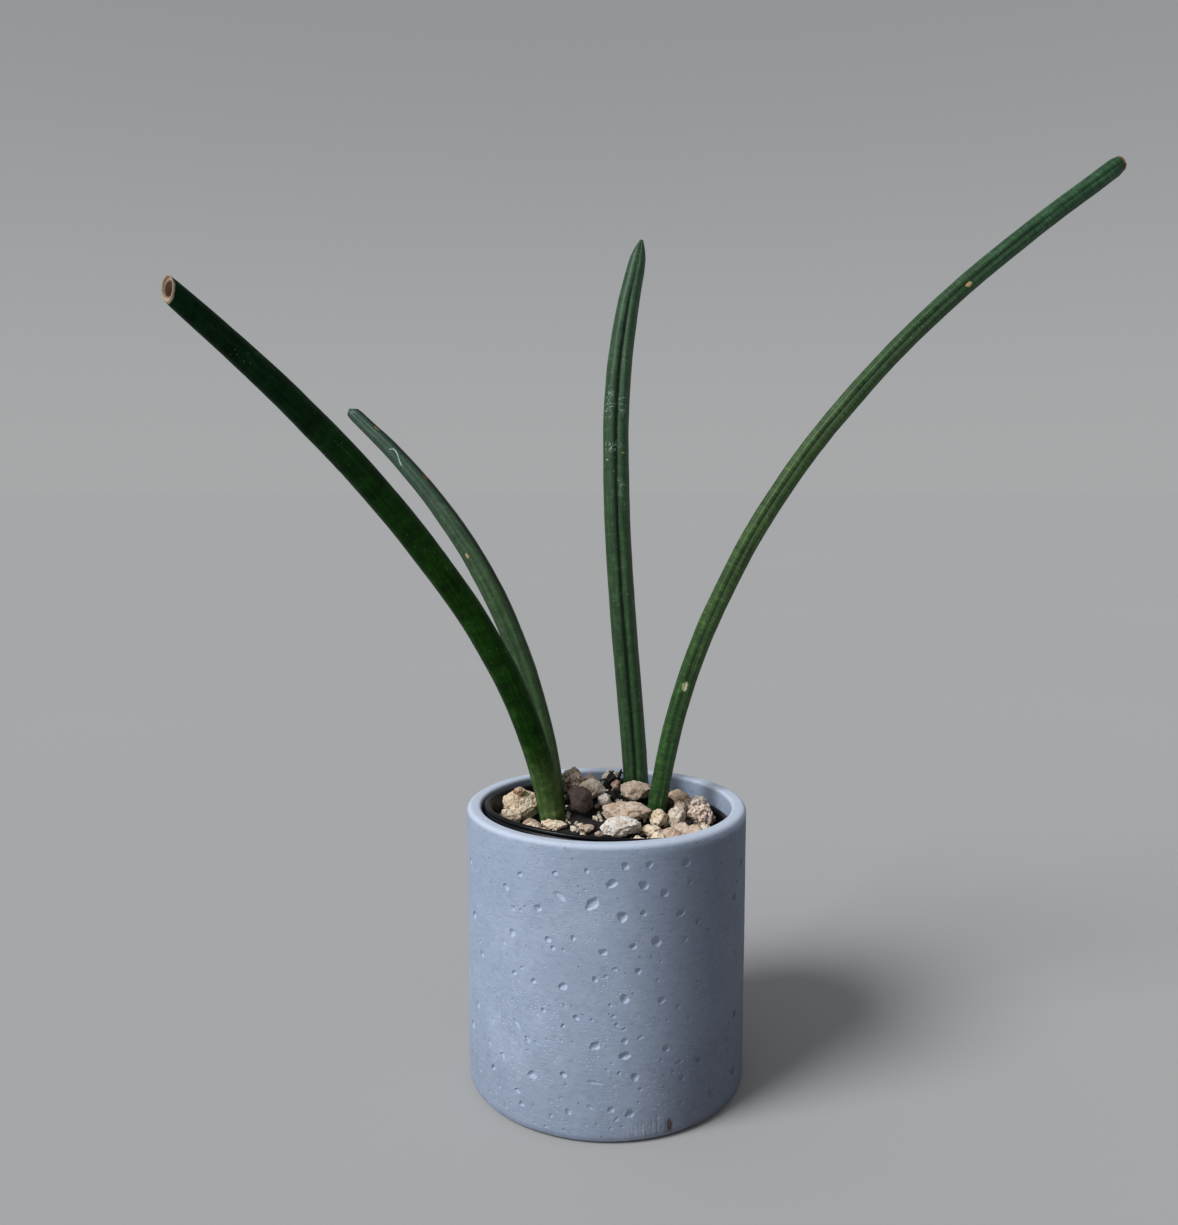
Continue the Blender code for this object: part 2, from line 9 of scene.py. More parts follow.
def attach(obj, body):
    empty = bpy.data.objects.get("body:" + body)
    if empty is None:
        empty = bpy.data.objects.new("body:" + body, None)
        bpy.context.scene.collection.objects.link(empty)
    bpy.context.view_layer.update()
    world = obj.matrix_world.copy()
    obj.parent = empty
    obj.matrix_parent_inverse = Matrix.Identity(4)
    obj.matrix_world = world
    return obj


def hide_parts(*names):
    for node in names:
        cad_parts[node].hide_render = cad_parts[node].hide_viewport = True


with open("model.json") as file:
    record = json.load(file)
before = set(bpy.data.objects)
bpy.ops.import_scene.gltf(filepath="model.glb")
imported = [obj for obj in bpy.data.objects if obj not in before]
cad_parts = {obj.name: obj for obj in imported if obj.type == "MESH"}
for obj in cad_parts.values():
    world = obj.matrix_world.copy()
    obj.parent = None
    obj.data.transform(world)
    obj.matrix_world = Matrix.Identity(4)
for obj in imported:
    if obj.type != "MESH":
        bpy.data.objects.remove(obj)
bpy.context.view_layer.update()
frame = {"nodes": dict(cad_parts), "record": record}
print("frame loaded:", len(frame["nodes"]), "nodes")

mm = 0.001  # lengths in the plans are in millimetres, angles in degrees

# tools for shaping


def selectOnly(*pieces):
    bpy.ops.object.select_all(action="DESELECT")
    for piece in pieces:
        piece.select_set(True)
    bpy.context.view_layer.objects.active = pieces[0]


def setMode(mode):
    bpy.ops.object.mode_set(mode=mode)


def nameNew(name):
    piece = bpy.context.object
    piece.name = name
    piece.data.name = name
    return piece


def settle(piece):
    # puts the piece's place, turn and size into its mesh
    selectOnly(piece)
    bpy.ops.object.transform_apply(location=True, rotation=True, scale=True)


def modify(piece, kind, **settings):
    # adds a modifier with these settings and applies it
    modifier = piece.modifiers.new(kind.lower(), kind)
    for key, value in settings.items():
        setattr(modifier, key, value)
    selectOnly(piece)
    bpy.ops.object.modifier_apply(modifier=modifier.name)


def cloudTexture(size, depth=2):
    texture = bpy.data.textures.new("clouds", "CLOUDS")
    texture.noise_scale = size
    texture.noise_depth = depth
    return texture


def cellTexture(size):
    texture = bpy.data.textures.new("cells", "VORONOI")
    texture.noise_scale = size
    return texture


def roughen(piece, texture, amount, middle=0.5):
    modify(piece, "DISPLACE", texture=texture, texture_coords="LOCAL", strength=amount, mid_level=middle)


def cutAway(piece, cutters):
    cutter = joinAll(cutters, "cutters")
    modify(piece, "BOOLEAN", operation="DIFFERENCE", solver="MANIFOLD", object=cutter)
    removeAll(cutter)


def outwards(piece):
    selectOnly(piece)
    setMode("EDIT")
    bpy.ops.mesh.select_all(action="SELECT")
    bpy.ops.mesh.normals_make_consistent(inside=False)
    setMode("OBJECT")


def startPicking(piece, kind):
    # nothing in the mesh is selected after this, so that edges or faces can be picked one by one
    selectOnly(piece)
    setMode("EDIT")
    bpy.ops.mesh.select_mode(type=kind)
    bpy.ops.mesh.select_all(action="DESELECT")
    setMode("OBJECT")


def copyOf(piece, name, matrix):
    # a copy with its own mesh, put in its place by the matrix
    copy = bpy.data.objects.new(name, piece.data.copy())
    bpy.context.scene.collection.objects.link(copy)
    copy.data.transform(matrix)
    return copy


def joinAll(pieces, name):
    selectOnly(*pieces)
    bpy.ops.object.join()
    return nameNew(name)


def removeAll(*pieces):
    for piece in pieces:
        bpy.data.objects.remove(piece)


def pieceName(node):
    first, *others = node.split("_")
    return first + "".join(word.capitalize() for word in others)


def copyOfNode(node, name):
    # a merged copy of a CAD node, which is loose triangles itself
    piece = copyOf(frame["nodes"][node], name, Matrix.Identity(4))
    piece.data.materials.clear()
    selectOnly(piece)
    bpy.ops.mesh.customdata_custom_splitnormals_clear()
    setMode("EDIT")
    bpy.ops.mesh.select_all(action="SELECT")
    bpy.ops.mesh.remove_doubles(threshold=0.01 * mm)
    setMode("OBJECT")
    outwards(piece)
    return piece


def arcPoints(centreRadius, centreHeight, radius, start, end, steps):
    angles = [math.radians(start + (end - start) * step / steps) for step in range(steps + 1)]
    return [(centreRadius + radius * math.cos(angle), centreHeight + radius * math.sin(angle))
            for angle in angles]


def stepsBetween(start, end, step):
    # points along a straight stretch of an outline, without its two ends
    count = max(1, round(math.dist(start, end) / step))
    return [tuple(a + (b - a) * k / count for a, b in zip(start, end)) for k in range(1, count)]


def turnedPiece(name, outline, sides):
    # a filled circle drawn out ring after ring along the outline, closed by its last face
    bpy.ops.object.select_all(action="DESELECT")
    radius, height = outline[0]
    bpy.ops.mesh.primitive_circle_add(
        vertices=sides, radius=radius * mm, fill_type="NGON", location=(0, 0, height * mm))
    piece = nameNew(name)
    setMode("EDIT")
    for (fromRadius, fromHeight), (toRadius, toHeight) in zip(outline, outline[1:]):
        rise = (toHeight - fromHeight) * mm
        bpy.ops.mesh.extrude_region_move(TRANSFORM_OT_translate={"value": (0, 0, rise)})
        bpy.ops.transform.resize(value=(toRadius / fromRadius, toRadius / fromRadius, 1))
    setMode("OBJECT")
    settle(piece)
    outwards(piece)
    return piece


def roughBall(name, levels, radius, texture, amount, middle=0.5):
    bpy.ops.mesh.primitive_ico_sphere_add(subdivisions=levels, radius=radius)
    ball = nameNew(name)
    roughen(ball, texture, amount, middle)
    return ball


def breakFaces(piece, count, shares, seed):
    # flattens what stands out furthest in some directions, which leaves a flat broken face in each
    draw = random.Random(seed)
    evenTurn, turnSway, levelSway = 2.4, 0.5, 0.3  # steps of 2.4 radians spread the directions evenly
    points = piece.data.vertices
    middle = sum((point.co for point in points), Vector()) / len(points)
    for k in range(count):
        level = 1 - 2 * (k + 0.5) / count
        turn = k * evenTurn + draw.uniform(-turnSway, turnSway)
        flat = math.sqrt(1 - level * level)
        height = level + draw.uniform(-levelSway, levelSway)
        outward = Vector((flat * math.cos(turn), flat * math.sin(turn), height)).normalized()
        reaches = [outward.dot(point.co - middle) for point in points]
        limit = max(reaches) * draw.uniform(*shares)
        for point, reach in zip(points, reaches):
            if reach > limit:
                point.co -= outward * (reach - limit)


def noteRelief(piece, before, normals):
    # keeps how far each point has moved outwards from before, in millimetres, for the material
    moves = [(point.co - old).dot(normal) / mm
             for point, old, normal in zip(piece.data.vertices, before, normals)]
    middle = sum(moves) / len(moves)
    relief = piece.data.attributes.new("relief", "FLOAT", "POINT")
    relief.data.foreach_set("value", [move - middle for move in moves])


def finishPiece(piece, angle, finish, slot, *nodes):
    # edges flatter than the angle are shaded smooth
    selectOnly(piece)
    bpy.ops.object.shade_smooth_by_angle(angle=math.radians(angle))
    piece.data.materials.clear()
    piece.data.materials.append(finish)
    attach(piece, "root")
    if nodes:
        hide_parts(*nodes)


# tools for materials


class Signal:
    # a socket that can be used in sums, each of which adds its Math node
    def __init__(self, sheet, socket):
        self.sheet = sheet
        self.socket = socket

    def maths(self, how, first, second=0.0):
        return self.sheet.node("Math", {"operation": how}, {0: first, 1: second})

    def __add__(self, other):
        return self.maths("ADD", self, other)

    def __sub__(self, other):
        return self.maths("SUBTRACT", self, other)

    def __rsub__(self, other):
        return self.maths("SUBTRACT", other, self)

    def __mul__(self, other):
        return self.maths("MULTIPLY", self, other)

    def __pow__(self, other):
        return self.maths("POWER", self, other)

    def __abs__(self):
        return self.maths("ABSOLUTE", self)

    __radd__ = __add__
    __rmul__ = __mul__

    def between(self, low, high):
        # 0 at low, 1 at high, smooth in between
        inputs = {"Value": self, "From Min": low, "From Max": high}
        return self.sheet.node("MapRange", {"interpolation_type": "SMOOTHSTEP"}, inputs)

    def cosine(self):
        return self.maths("COSINE", self)

    def sine(self):
        return self.maths("SINE", self)


class Sheet:
    # a material with the nodes that paint it
    def __init__(self, name, roughness, bumpDepth=0.0):
        self.material = bpy.data.materials.new(name)
        self.material.use_nodes = True
        self.tree = self.material.node_tree
        self.shader = self.tree.nodes["Principled BSDF"]
        self.shader.inputs["Roughness"].default_value = roughness
        self.bumpDepth = bumpDepth

    def node(self, kind, settings=None, inputs=None, output=0):
        made = self.tree.nodes.new("ShaderNode" + kind)
        for key, value in (settings or {}).items():
            setattr(made, key, value)
        for key, value in (inputs or {}).items():
            self.feed(made.inputs[key], value)
        return Signal(self, made.outputs[output])

    def feed(self, socket, value):
        if isinstance(value, Signal):
            self.tree.links.new(value.socket, socket)
        elif socket.type == "RGBA":
            socket.default_value = (*value, 1.0)
        else:
            socket.default_value = value

    def places(self, stretch=(1, 1, 1)):
        # the place on the piece in millimetres, stretched along each axis
        scale = tuple(share / mm for share in stretch)
        inputs = {0: self.node("TexCoord", output="Object"), 1: scale}
        return self.node("VectorMath", {"operation": "MULTIPLY"}, inputs)

    def noise(self, places, scale, detail=2.0, roughness=0.5):
        inputs = {"Vector": places, "Scale": scale, "Detail": detail, "Roughness": roughness}
        return self.node("TexNoise", inputs=inputs)

    def cells(self, places, scale, output="Distance"):
        return self.node("TexVoronoi", inputs={"Vector": places, "Scale": scale}, output=output)

    def axes(self, vector):
        split = self.node("SeparateXYZ", inputs={0: vector})
        return [Signal(self, socket) for socket in split.socket.node.outputs]

    def blend(self, below, above, share, how="MIX"):
        settings = {"data_type": "RGBA", "blend_type": how}
        return self.node("Mix", settings, {0: share, 6: below, 7: above}, 2)

    def layered(self, colour, *layers):
        # a layer is a colour, how far it covers what is below, and the way it mixes if that isn't plain
        for above, share, *how in layers:
            colour = self.blend(colour, above, share, *how)
        return colour

    def far(self, places, spot, size):
        # distance from a spot, where 1 is the edge of an oval with these half sizes
        away = self.node("VectorMath", {"operation": "SUBTRACT"}, {0: places, 1: spot})
        inward = self.node("VectorMath", {"operation": "DIVIDE"}, {0: away, 1: size})
        return self.node("VectorMath", {"operation": "LENGTH"}, {0: inward}, "Value")

    def paint(self, colour, height=None, strength=1.0, roughness=None):
        self.feed(self.shader.inputs["Base Color"], colour)
        if roughness is not None:
            self.feed(self.shader.inputs["Roughness"], roughness)
        if height is not None:
            inputs = {"Strength": strength, "Distance": self.bumpDepth * mm, "Height": height}
            self.feed(self.shader.inputs["Normal"], self.node("Bump", inputs=inputs, output="Normal"))
        return self.material


class Sky(Sheet):
    # the world, painted in the same way
    def __init__(self, name):
        self.world = bpy.data.worlds.new(name)
        self.world.use_nodes = True
        self.tree = self.world.node_tree


# concrete cover pot

potPlan = {
    "radius": 60.0,
    "height": 121.0,
    "innerRadius": 53.7,
    "floor": 14.5,
    "rimRound": 2.2,
    "lipRound": 1.6,
    "footRound": 4.0,
    "cornerRound": 4.0,
    "sides": 288,
    "ringStep": 2.0,
    "sway": 0.28,
    "swaySize": 24.0,
    "pitDepth": 0.3,  # as a share of the pit's width
    # angle about the axis, height, width
    "frontPits": (
        (-110, 109, 1.9), (-98, 111, 1.7), (-84, 113, 2.5), (-75, 113, 2.1), (-60, 112, 3.3),
        (-89, 106, 3.0), (-77, 105, 3.4), (-69, 101, 2.8), (-58, 104, 2.2), (-132, 99, 2.4),
        (-125, 106, 1.9), (-117, 94, 2.7), (-96, 98, 3.9), (-85, 93, 3.3), (-77, 94, 2.3),
        (-62, 92, 2.9), (-54, 87, 2.2), (-129, 81, 2.4), (-113, 82, 1.9), (-111, 79, 1.6),
        (-103, 84, 1.9), (-92, 79, 2.6), (-81, 81, 2.4), (-72, 82, 3.0), (-60, 81, 2.0),
        (-79, 71, 2.3), (-95, 68, 1.9), (-119, 64, 2.0), (-107, 64, 2.6), (-128, 65, 1.7),
        (-84, 60, 3.1), (-70, 58, 2.7), (-63, 54, 1.8), (-115, 53, 1.7), (-102, 52, 2.0),
        (-107, 48, 1.7), (-122, 39, 2.1), (-95, 41, 3.1), (-84, 43, 2.0), (-84, 37, 3.5),
        (-68, 38, 2.3), (-135, 28, 2.0), (-141, 20, 2.5), (-120, 25, 2.8), (-107, 28, 2.3),
        (-80, 28, 3.1), (-86, 30, 1.3), (-61, 24, 2.0), (-53, 29, 2.4), (-127, 16, 2.1),
        (-125, 11, 2.1), (-105, 13, 2.0), (-112, 10, 1.3), (-89, 15, 2.0), (-82, 13, 3.1),
        (-46, 13, 2.8),
    ),
    # angle, height, length, width, tilt of the long ones
    "longPits": (
        (-108, 100, 6.4, 3.0, -28), (-127, 44, 5.2, 2.4, -32),
        (-95, 26, 7.0, 1.8, -4), (-46, 20, 6.5, 1.4, 14),
    ),
    "frontEdges": (-148, -40),
    "widePit": 3.0,  # the rule keeps clear of the front's pits from this width up
    "pitRows": 8,
    "pitsPerRow": 10,
    "pitHeights": (11.0, 110.0),
    "pitSizes": (2.1, 3.4),
    "pitSway": (0.28, 0.3),  # along the row and across it, as shares of a step
    "pitSpacing": 6.5,
    "pitSeed": 7,
    "smallPits": 420,
    "smallPitHeights": (5, 109),
    "smallPitSizes": (0.8, 1.9),
    "smallPitsLow": 1.5,  # the higher, the more of them lie low
    # the room that a pit takes and the gap beside it, as shares of its size
    "pitRoom": 1.05,
    "longPitRoom": 0.6,
    "pitGap": 1.1,
    "pitGrowth": 1.3,
    "shallowDepth": 0.22,  # of the small and the long ones, as a share of the width
    "ballShare": 0.56,  # half the size of the ball that cuts a pit, as a share of the pit's
    "pitTilt": 50,
    "colour": (0.3, 0.366, 0.49),
    "paleColour": (0.4, 0.47, 0.6),
    "darkColour": (0.205, 0.245, 0.325),
    # pale cement where the skin has chipped, also a painted highlight inside the pits
    "pitColour": (0.5, 0.57, 0.7),
    "speckColour": (0.56, 0.63, 0.74),
    "pinholeColour": (0.06, 0.06, 0.075),
    # the rim's top: wear and painted highlight
    "rubbedColour": (0.58, 0.64, 0.75),
    "chipColours": ((0.5, 0.55, 0.64), (0.14, 0.15, 0.18)),
    "stainColour": (0.11, 0.07, 0.045),
    # multiplies in the darker foot and the painted shade on the side away from the light
    "dampShade": (0.4, 0.39, 0.405),
    # middle and half size of the veined, the chipped and the stained spot
    "veined": ((-36, -48, 42), (24, 26, 44)),
    "chipped": ((18.0, -57.0, 3.0), (15.0, 12.0, 9.0)),
    "stained": ((24.2, -55.0, 5.6), (1.6, 2.0, 3.6)),
}


def onWall(angle, height, out=0.0):
    radius, turn = potPlan["radius"] + out, math.radians(angle)
    return Vector((radius * math.cos(turn), radius * math.sin(turn), height)) * mm


def pitPlaces():
    # the pits of the front as seen, and the same rule as the CAD's for the sides and the back
    plan = potPlan
    draw = random.Random(plan["pitSeed"])
    rows, perRow = plan["pitRows"], plan["pitsPerRow"]
    sideSway, rowSway = plan["pitSway"]
    lowest, highest = plan["pitHeights"]
    lowEdge, highEdge = plan["frontEdges"]
    large = list(plan["frontPits"])
    ruled = [(a, z, w) for a, z, w in large if w >= plan["widePit"]]
    for row in range(rows):
        for k in range(perRow):
            turn = 360 * (k + 0.5 * (row % 2) + draw.uniform(-sideSway, sideSway)) / perRow
            share = (row + 0.5 + draw.uniform(-rowSway, rowSway)) / rows
            height = lowest + (highest - lowest) * share
            width = draw.uniform(*plan["pitSizes"])
            nearest = min((onWall(turn, height) - onWall(a, z)).length for a, z, _ in ruled)
            if nearest > plan["pitSpacing"] * mm:
                ruled.append((turn, height, width))
                if not lowEdge < (turn + 180) % 360 - 180 < highEdge:
                    large.append((turn, height, width))
    small = []
    room, longRoom = plan["pitRoom"], plan["longPitRoom"]
    taken = [(onWall(a, z), w * room) for a, z, w in large]
    taken += [(onWall(a, z), length * longRoom) for a, z, length, _, _ in plan["longPits"]]
    lowest, highest = plan["smallPitHeights"]
    for _ in range(plan["smallPits"]):
        angle = draw.uniform(-180, 180)
        height = lowest + (highest - lowest) * draw.random() ** plan["smallPitsLow"]
        width = draw.uniform(*plan["smallPitSizes"])
        place = onWall(angle, height)
        clear = min((place - other).length - reach * mm for other, reach in taken)
        if clear > plan["pitGap"] * width * mm:
            small.append((angle, height, width))
            taken.append((place, width * room))
    return large, small


def makePot():
    plan = potPlan
    radius, height, inner, floor = plan["radius"], plan["height"], plan["innerRadius"], plan["floor"]
    foot, rim, lip, corner = plan["footRound"], plan["rimRound"], plan["lipRound"], plan["cornerRound"]
    outline = arcPoints(radius - foot, foot, foot, -90, 0, 8)
    outline += stepsBetween((radius, foot), (radius, height - rim), plan["ringStep"])
    outline += arcPoints(radius - rim, height - rim, rim, 0, 90, 7)
    outline += arcPoints(inner + lip, height - lip, lip, 90, 180, 6)
    outline += stepsBetween((inner, height - lip), (inner, floor + corner), 2 * plan["ringStep"])
    outline += arcPoints(inner - corner, floor + corner, corner, 0, -90, 5)
    pot = turnedPiece("coverPot", outline, plan["sides"])
    roughen(pot, cloudTexture(plan["swaySize"] * mm), plan["sway"] * mm)
    seeds = [roughBall("pitSeed", levels, 1, cloudTexture(0.9), 0.55, 0.45) for levels in (4, 3)]
    draw = random.Random(plan["pitSeed"])
    cutters = []

    def addPit(seed, angle, at, depth, length, width, tilt):
        # a rough ball that only dips into the wall leaves a shallow bowl there
        spin = Matrix.Rotation(math.radians(angle), 4, "Z") @ Matrix.Rotation(math.radians(tilt), 4, "X")
        ball = plan["ballShare"]
        shape = Matrix.Diagonal((2 * depth * mm, ball * length * mm, ball * width * mm, 1))
        roll = Matrix.Rotation(draw.uniform(0, 6.28), 4, (0.4, 0.5, 0.7))
        place = Matrix.Translation(onWall(angle, at, depth))
        cutters.append(copyOf(seed, "pit", place @ spin @ shape @ roll))

    large, small = pitPlaces()
    tilt, shallow = plan["pitTilt"], plan["shallowDepth"]
    for angle, at, width in large:
        width *= plan["pitGrowth"]
        length = width * draw.uniform(0.95, 1.3)
        across = width * draw.uniform(0.85, 1.1)
        addPit(seeds[0], angle, at, width * plan["pitDepth"], length, across, draw.uniform(-tilt, tilt))
    for angle, at, width in small:
        length = width * draw.uniform(0.9, 1.8)
        addPit(seeds[1], angle, at, width * shallow, length, width, draw.uniform(-tilt, tilt))
    for angle, at, length, width, lean in plan["longPits"]:
        addPit(seeds[0], angle, at, width * shallow, length, width, lean)
    cutAway(pot, cutters)
    removeAll(*seeds)
    finishPiece(pot, 38, concreteFinish(), "concrete", "cover_pot")
    print("cover pot:", len(pot.data.polygons), "faces")


def concreteFinish():
    plan = potPlan
    sheet = Sheet("castConcrete", 0.72, 0.35)
    places = sheet.places()
    x, y, z = sheet.axes(places)
    out = (x * x + y * y) ** 0.5
    pale, dark = plan["paleColour"], plan["darkColour"]
    patches = sheet.noise(places, 0.045, 4, 0.6)
    cloud = sheet.noise(places, 0.22, 5, 0.65)
    grain = sheet.noise(places, 2.6, 5, 0.7)
    mottle = sheet.noise(sheet.places((0.3, 0.3, 0.62)), 1.0, 6, 0.72)
    brush = sheet.noise(sheet.places((0.07, 0.07, 1.3)), 1.0, 5, 0.7)
    brushFine = sheet.noise(sheet.places((0.22, 0.22, 3.4)), 1.0, 4, 0.7)
    uneven = 0.35 + 0.65 * cloud.between(0.38, 0.62)
    # pale specks and scuffs, most of them low on the wall, and a few veins where the skin has chipped
    low = z.between(105, 35)
    speck = sheet.cells(sheet.places((0.8, 0.8, 1.3)), 0.55).between(0.26, 0.1)
    speckWhere = sheet.noise(places, 0.1, 3).between(0.42, 0.58)
    scuff = sheet.noise(sheet.places((0.7, 0.7, 1.2)), 0.8, 4, 0.72).between(0.6, 0.7)
    scuff = scuff * cloud.between(0.44, 0.6)
    veins = sheet.noise(sheet.places((0.5, 0.5, 0.8)), 0.42, 3, 0.6)
    veins = abs(veins - 0.5).between(0.03, 0.008)
    veins = veins * sheet.noise(places, 0.2, 3).between(0.54, 0.66)
    veins = veins * sheet.far(places, *plan["veined"]).between(1.0, 0.55)
    pinholes = sheet.cells(places, 0.16).between(0.07, 0.045)
    inPit = out.between(plan["radius"] - 0.2, plan["radius"] - 0.5) * out.between(57.0, 57.6)
    # the foot: chipped upright streaks, a brown stain on the front right and darker patches along its
    # very bottom
    streaks = sheet.noise(sheet.places((1.1, 1.1, 0.06)), 1.0, 3, 0.6)
    chipped = sheet.far(places, *plan["chipped"]).between(1.0, 0.5)
    stain = sheet.far(places, *plan["stained"]) + 0.9 * (sheet.noise(places, 0.9, 3) - 0.5)
    footDarkPatches = z.between(5.5, 0.5) * cloud.between(0.35, 0.65)
    # darker towards the foot, and painted shade on the outside of the side that gets no sun
    outside = out.between(56.5, 58.5) * z.between(119.5, 116)
    footDarkeningAndSideShade = 0.26 * (z + 40 * (patches - 0.5)).between(50, 5)
    footDarkeningAndSideShade = footDarkeningAndSideShade + 0.92 * outside * (x + 14 * (patches - 0.5)).between(0, 47)
    colour = sheet.layered(
        plan["colour"],
        (pale, patches.between(0.42, 0.72) * 0.45),
        (dark, cloud.between(0.5, 0.8) * 0.38),
        (pale, mottle.between(0.5, 0.72) * 0.5),
        (dark, mottle.between(0.5, 0.3) * 0.45),
        (pale, brush.between(0.48, 0.7) * uneven * 0.45),
        (dark, brushFine.between(0.48, 0.72) * uneven * 0.42),
        (plan["speckColour"], speck * speckWhere * (0.2 + 0.6 * low)),
        (plan["speckColour"], scuff * (0.12 + 0.4 * low)),
        (plan["pitColour"], veins * 0.6),
        (plan["pinholeColour"], pinholes * 0.8),
        # the rim's top is painted pale, partly as wear and partly as a painted highlight, and the pits
        # are painted pale, a painted highlight for their lit walls and partly fresh cement
        (plan["rubbedColour"], z.between(118.9, 120.8) * (0.55 + 0.35 * cloud)),
        (plan["pitColour"], inPit * z.between(119, 117) * 0.5),
        (plan["chipColours"][0], chipped * streaks.between(0.5, 0.62) * 0.75),
        (plan["chipColours"][1], chipped * streaks.between(0.44, 0.38) * 0.55),
        (plan["stainColour"], stain.between(1.0, 0.55) * 0.9),
        (dark, footDarkPatches * 0.5),
        (plan["dampShade"], footDarkeningAndSideShade, "MULTIPLY"))
    height = 0.5 * brush + 0.5 * brushFine + 0.6 * grain - 1.2 * speck * speckWhere - 0.7 * scuff
    height = height + 1.6 * chipped * (streaks - 0.5)
    return sheet.paint(colour, height, 0.55, 0.62 + 0.25 * cloud)


makePot()

# black nursery liner, round its own axis and with its rim plane at height 0

linerPlan = {
    "rimRadius": 52.5,
    "rimBand": 4.8,
    "rimWidth": 2.2,
    "roll": 1.0,
    "groove": 0.6,
    "baseRadius": 38.0,
    "height": 100.0,
    "wall": 1.0,
    "foot": 2.0,
    "footWidth": 4.0,
    "footEdge": 0.4,
    "sides": 192,
    "ringStep": 8,
    "rimHeight": 118.0,
    "slope": (-0.0667, -0.069),
    "drainHoles": 6,
    "drainRadius": 3.5,
    "drainCircle": 23.0,
    "colour": (0.002, 0.0022, 0.0034),
    "dustColour": (0.022, 0.022, 0.024),
}


def linerPlace():
    slopeX, slopeY = linerPlan["slope"]
    turn = Vector((0, 0, 1)).rotation_difference(Vector((-slopeX, -slopeY, 1)).normalized())
    return Matrix.Translation((0, 0, linerPlan["rimHeight"] * mm)) @ turn.to_matrix().to_4x4()


def makeLiner():
    plan = linerPlan
    outside, wall, base, groove = plan["rimRadius"], plan["wall"], -plan["height"], plan["groove"]
    roll, band, foot, baseRadius = plan["roll"], plan["rimBand"], plan["foot"], plan["baseRadius"]
    topInside = outside - plan["rimWidth"]
    slope = (baseRadius - wall - topInside) / plan["height"]
    footInside = baseRadius - plan["footWidth"]
    underBand = topInside + slope * band + wall
    floor = base + foot + wall
    insideTop = (topInside + slope * plan["rimWidth"], -plan["rimWidth"])
    insideFloor = (topInside - slope * floor, floor)
    footTop = (baseRadius, base + plan["footEdge"])
    outline = [(footInside - foot, base + foot), (footInside, base)]
    outline += [(baseRadius - plan["footEdge"], base), footTop]
    outline += stepsBetween(footTop, (underBand, -band), plan["ringStep"])
    outline += [(underBand, -band), (outside - groove, -band)]
    outline += arcPoints(outside - groove, -band + groove, groove, -60, 0, 3)
    outline += [(outside, -5 * groove)] + arcPoints(outside, -3.2 * groove, groove * 0.8, 240, 150, 4)
    outline += arcPoints(outside - roll, -roll, roll, -10, 165, 10)
    outline += [insideTop] + stepsBetween(insideTop, insideFloor, plan["ringStep"])
    outline += [insideFloor, (insideFloor[0] - 6, floor)]
    liner = turnedPiece("nurseryLiner", outline, plan["sides"])
    drains = []
    for k in range(plan["drainHoles"]):
        angle = 2 * math.pi * k / plan["drainHoles"]
        across = plan["drainCircle"] * mm
        bpy.ops.mesh.primitive_cylinder_add(
            vertices=24, radius=plan["drainRadius"] * mm, depth=4 * (foot + wall) * mm,
            location=(across * math.cos(angle), across * math.sin(angle), base * mm))
        drains.append(nameNew("drain"))
        settle(drains[-1])
    cutAway(liner, drains)
    liner.data.transform(linerPlace())
    roughen(liner, cloudTexture(30 * mm), 0.25 * mm)
    finishPiece(liner, 32, plasticFinish(), "black_plastic", "nursery_liner")
    print("nursery liner:", len(liner.data.polygons), "faces")


def plasticFinish():
    sheet = Sheet("blackPlastic", 0.3, 0.08)
    sheet.feed(sheet.shader.inputs["Specular IOR Level"], 0.18)
    places = sheet.places()
    dust = sheet.noise(places, 0.16, 5, 0.7)
    fine = sheet.noise(places, 2.2, 4, 0.7)
    scuffs = sheet.noise(sheet.places((0.12, 0.12, 3.0)), 1.0, 3, 0.6)
    colour = sheet.layered(
        linerPlan["colour"],
        (linerPlan["dustColour"], dust.between(0.55, 0.85) * 0.15),
        (linerPlan["dustColour"], scuffs.between(0.62, 0.9) * 0.15))
    return sheet.paint(colour, fine + 0.5 * scuffs, 0.4, 0.26 + 0.25 * dust)


makeLiner()

# soil

soilPlan = {
    "cell": 1.25,
    "lumps": ((7.0, 1.5), (2.6, 1.3)),  # size, height
    "crumbs": 620,
    "crumbSizes": (0.8, 2.6),
    "grits": 260,
    "gritSizes": (1.2, 3.8),
    "reach": 47.0,
    "seed": 4,
    # dark and pale, of the soil and of its crumbs
    "colours": ((0.01, 0.0075, 0.006), (0.04, 0.028, 0.02)),
    "crumbColours": ((0.014, 0.01, 0.008), (0.06, 0.04, 0.028)),
}


def soilFinish(name, dark, pale):
    sheet = Sheet(name, 0.92, 0.5)
    places = sheet.places()
    lumps = sheet.noise(places, 0.5, 5, 0.7)
    grain = sheet.noise(places, 2.4, 5, 0.75)
    colour = sheet.layered(
        dark,
        (pale, lumps.between(0.5, 0.8) * 0.7),
        (pale, grain.between(0.6, 0.85) * 0.5))
    return sheet.paint(colour, grain + lumps, 0.9, 0.8 + 0.2 * grain)


def makeSoil():
    soil = copyOfNode("soil", "pottingSoil")
    modify(soil, "REMESH", mode="VOXEL", voxel_size=soilPlan["cell"] * mm)
    for size, amount in soilPlan["lumps"]:
        roughen(soil, cloudTexture(size * mm, 3), amount * mm)
    finishPiece(soil, 180, soilFinish("darkSoil", *soilPlan["colours"]), "potting_soil", "soil")
    print("soil:", len(soil.data.polygons), "faces")


makeSoil()

# stones and bark

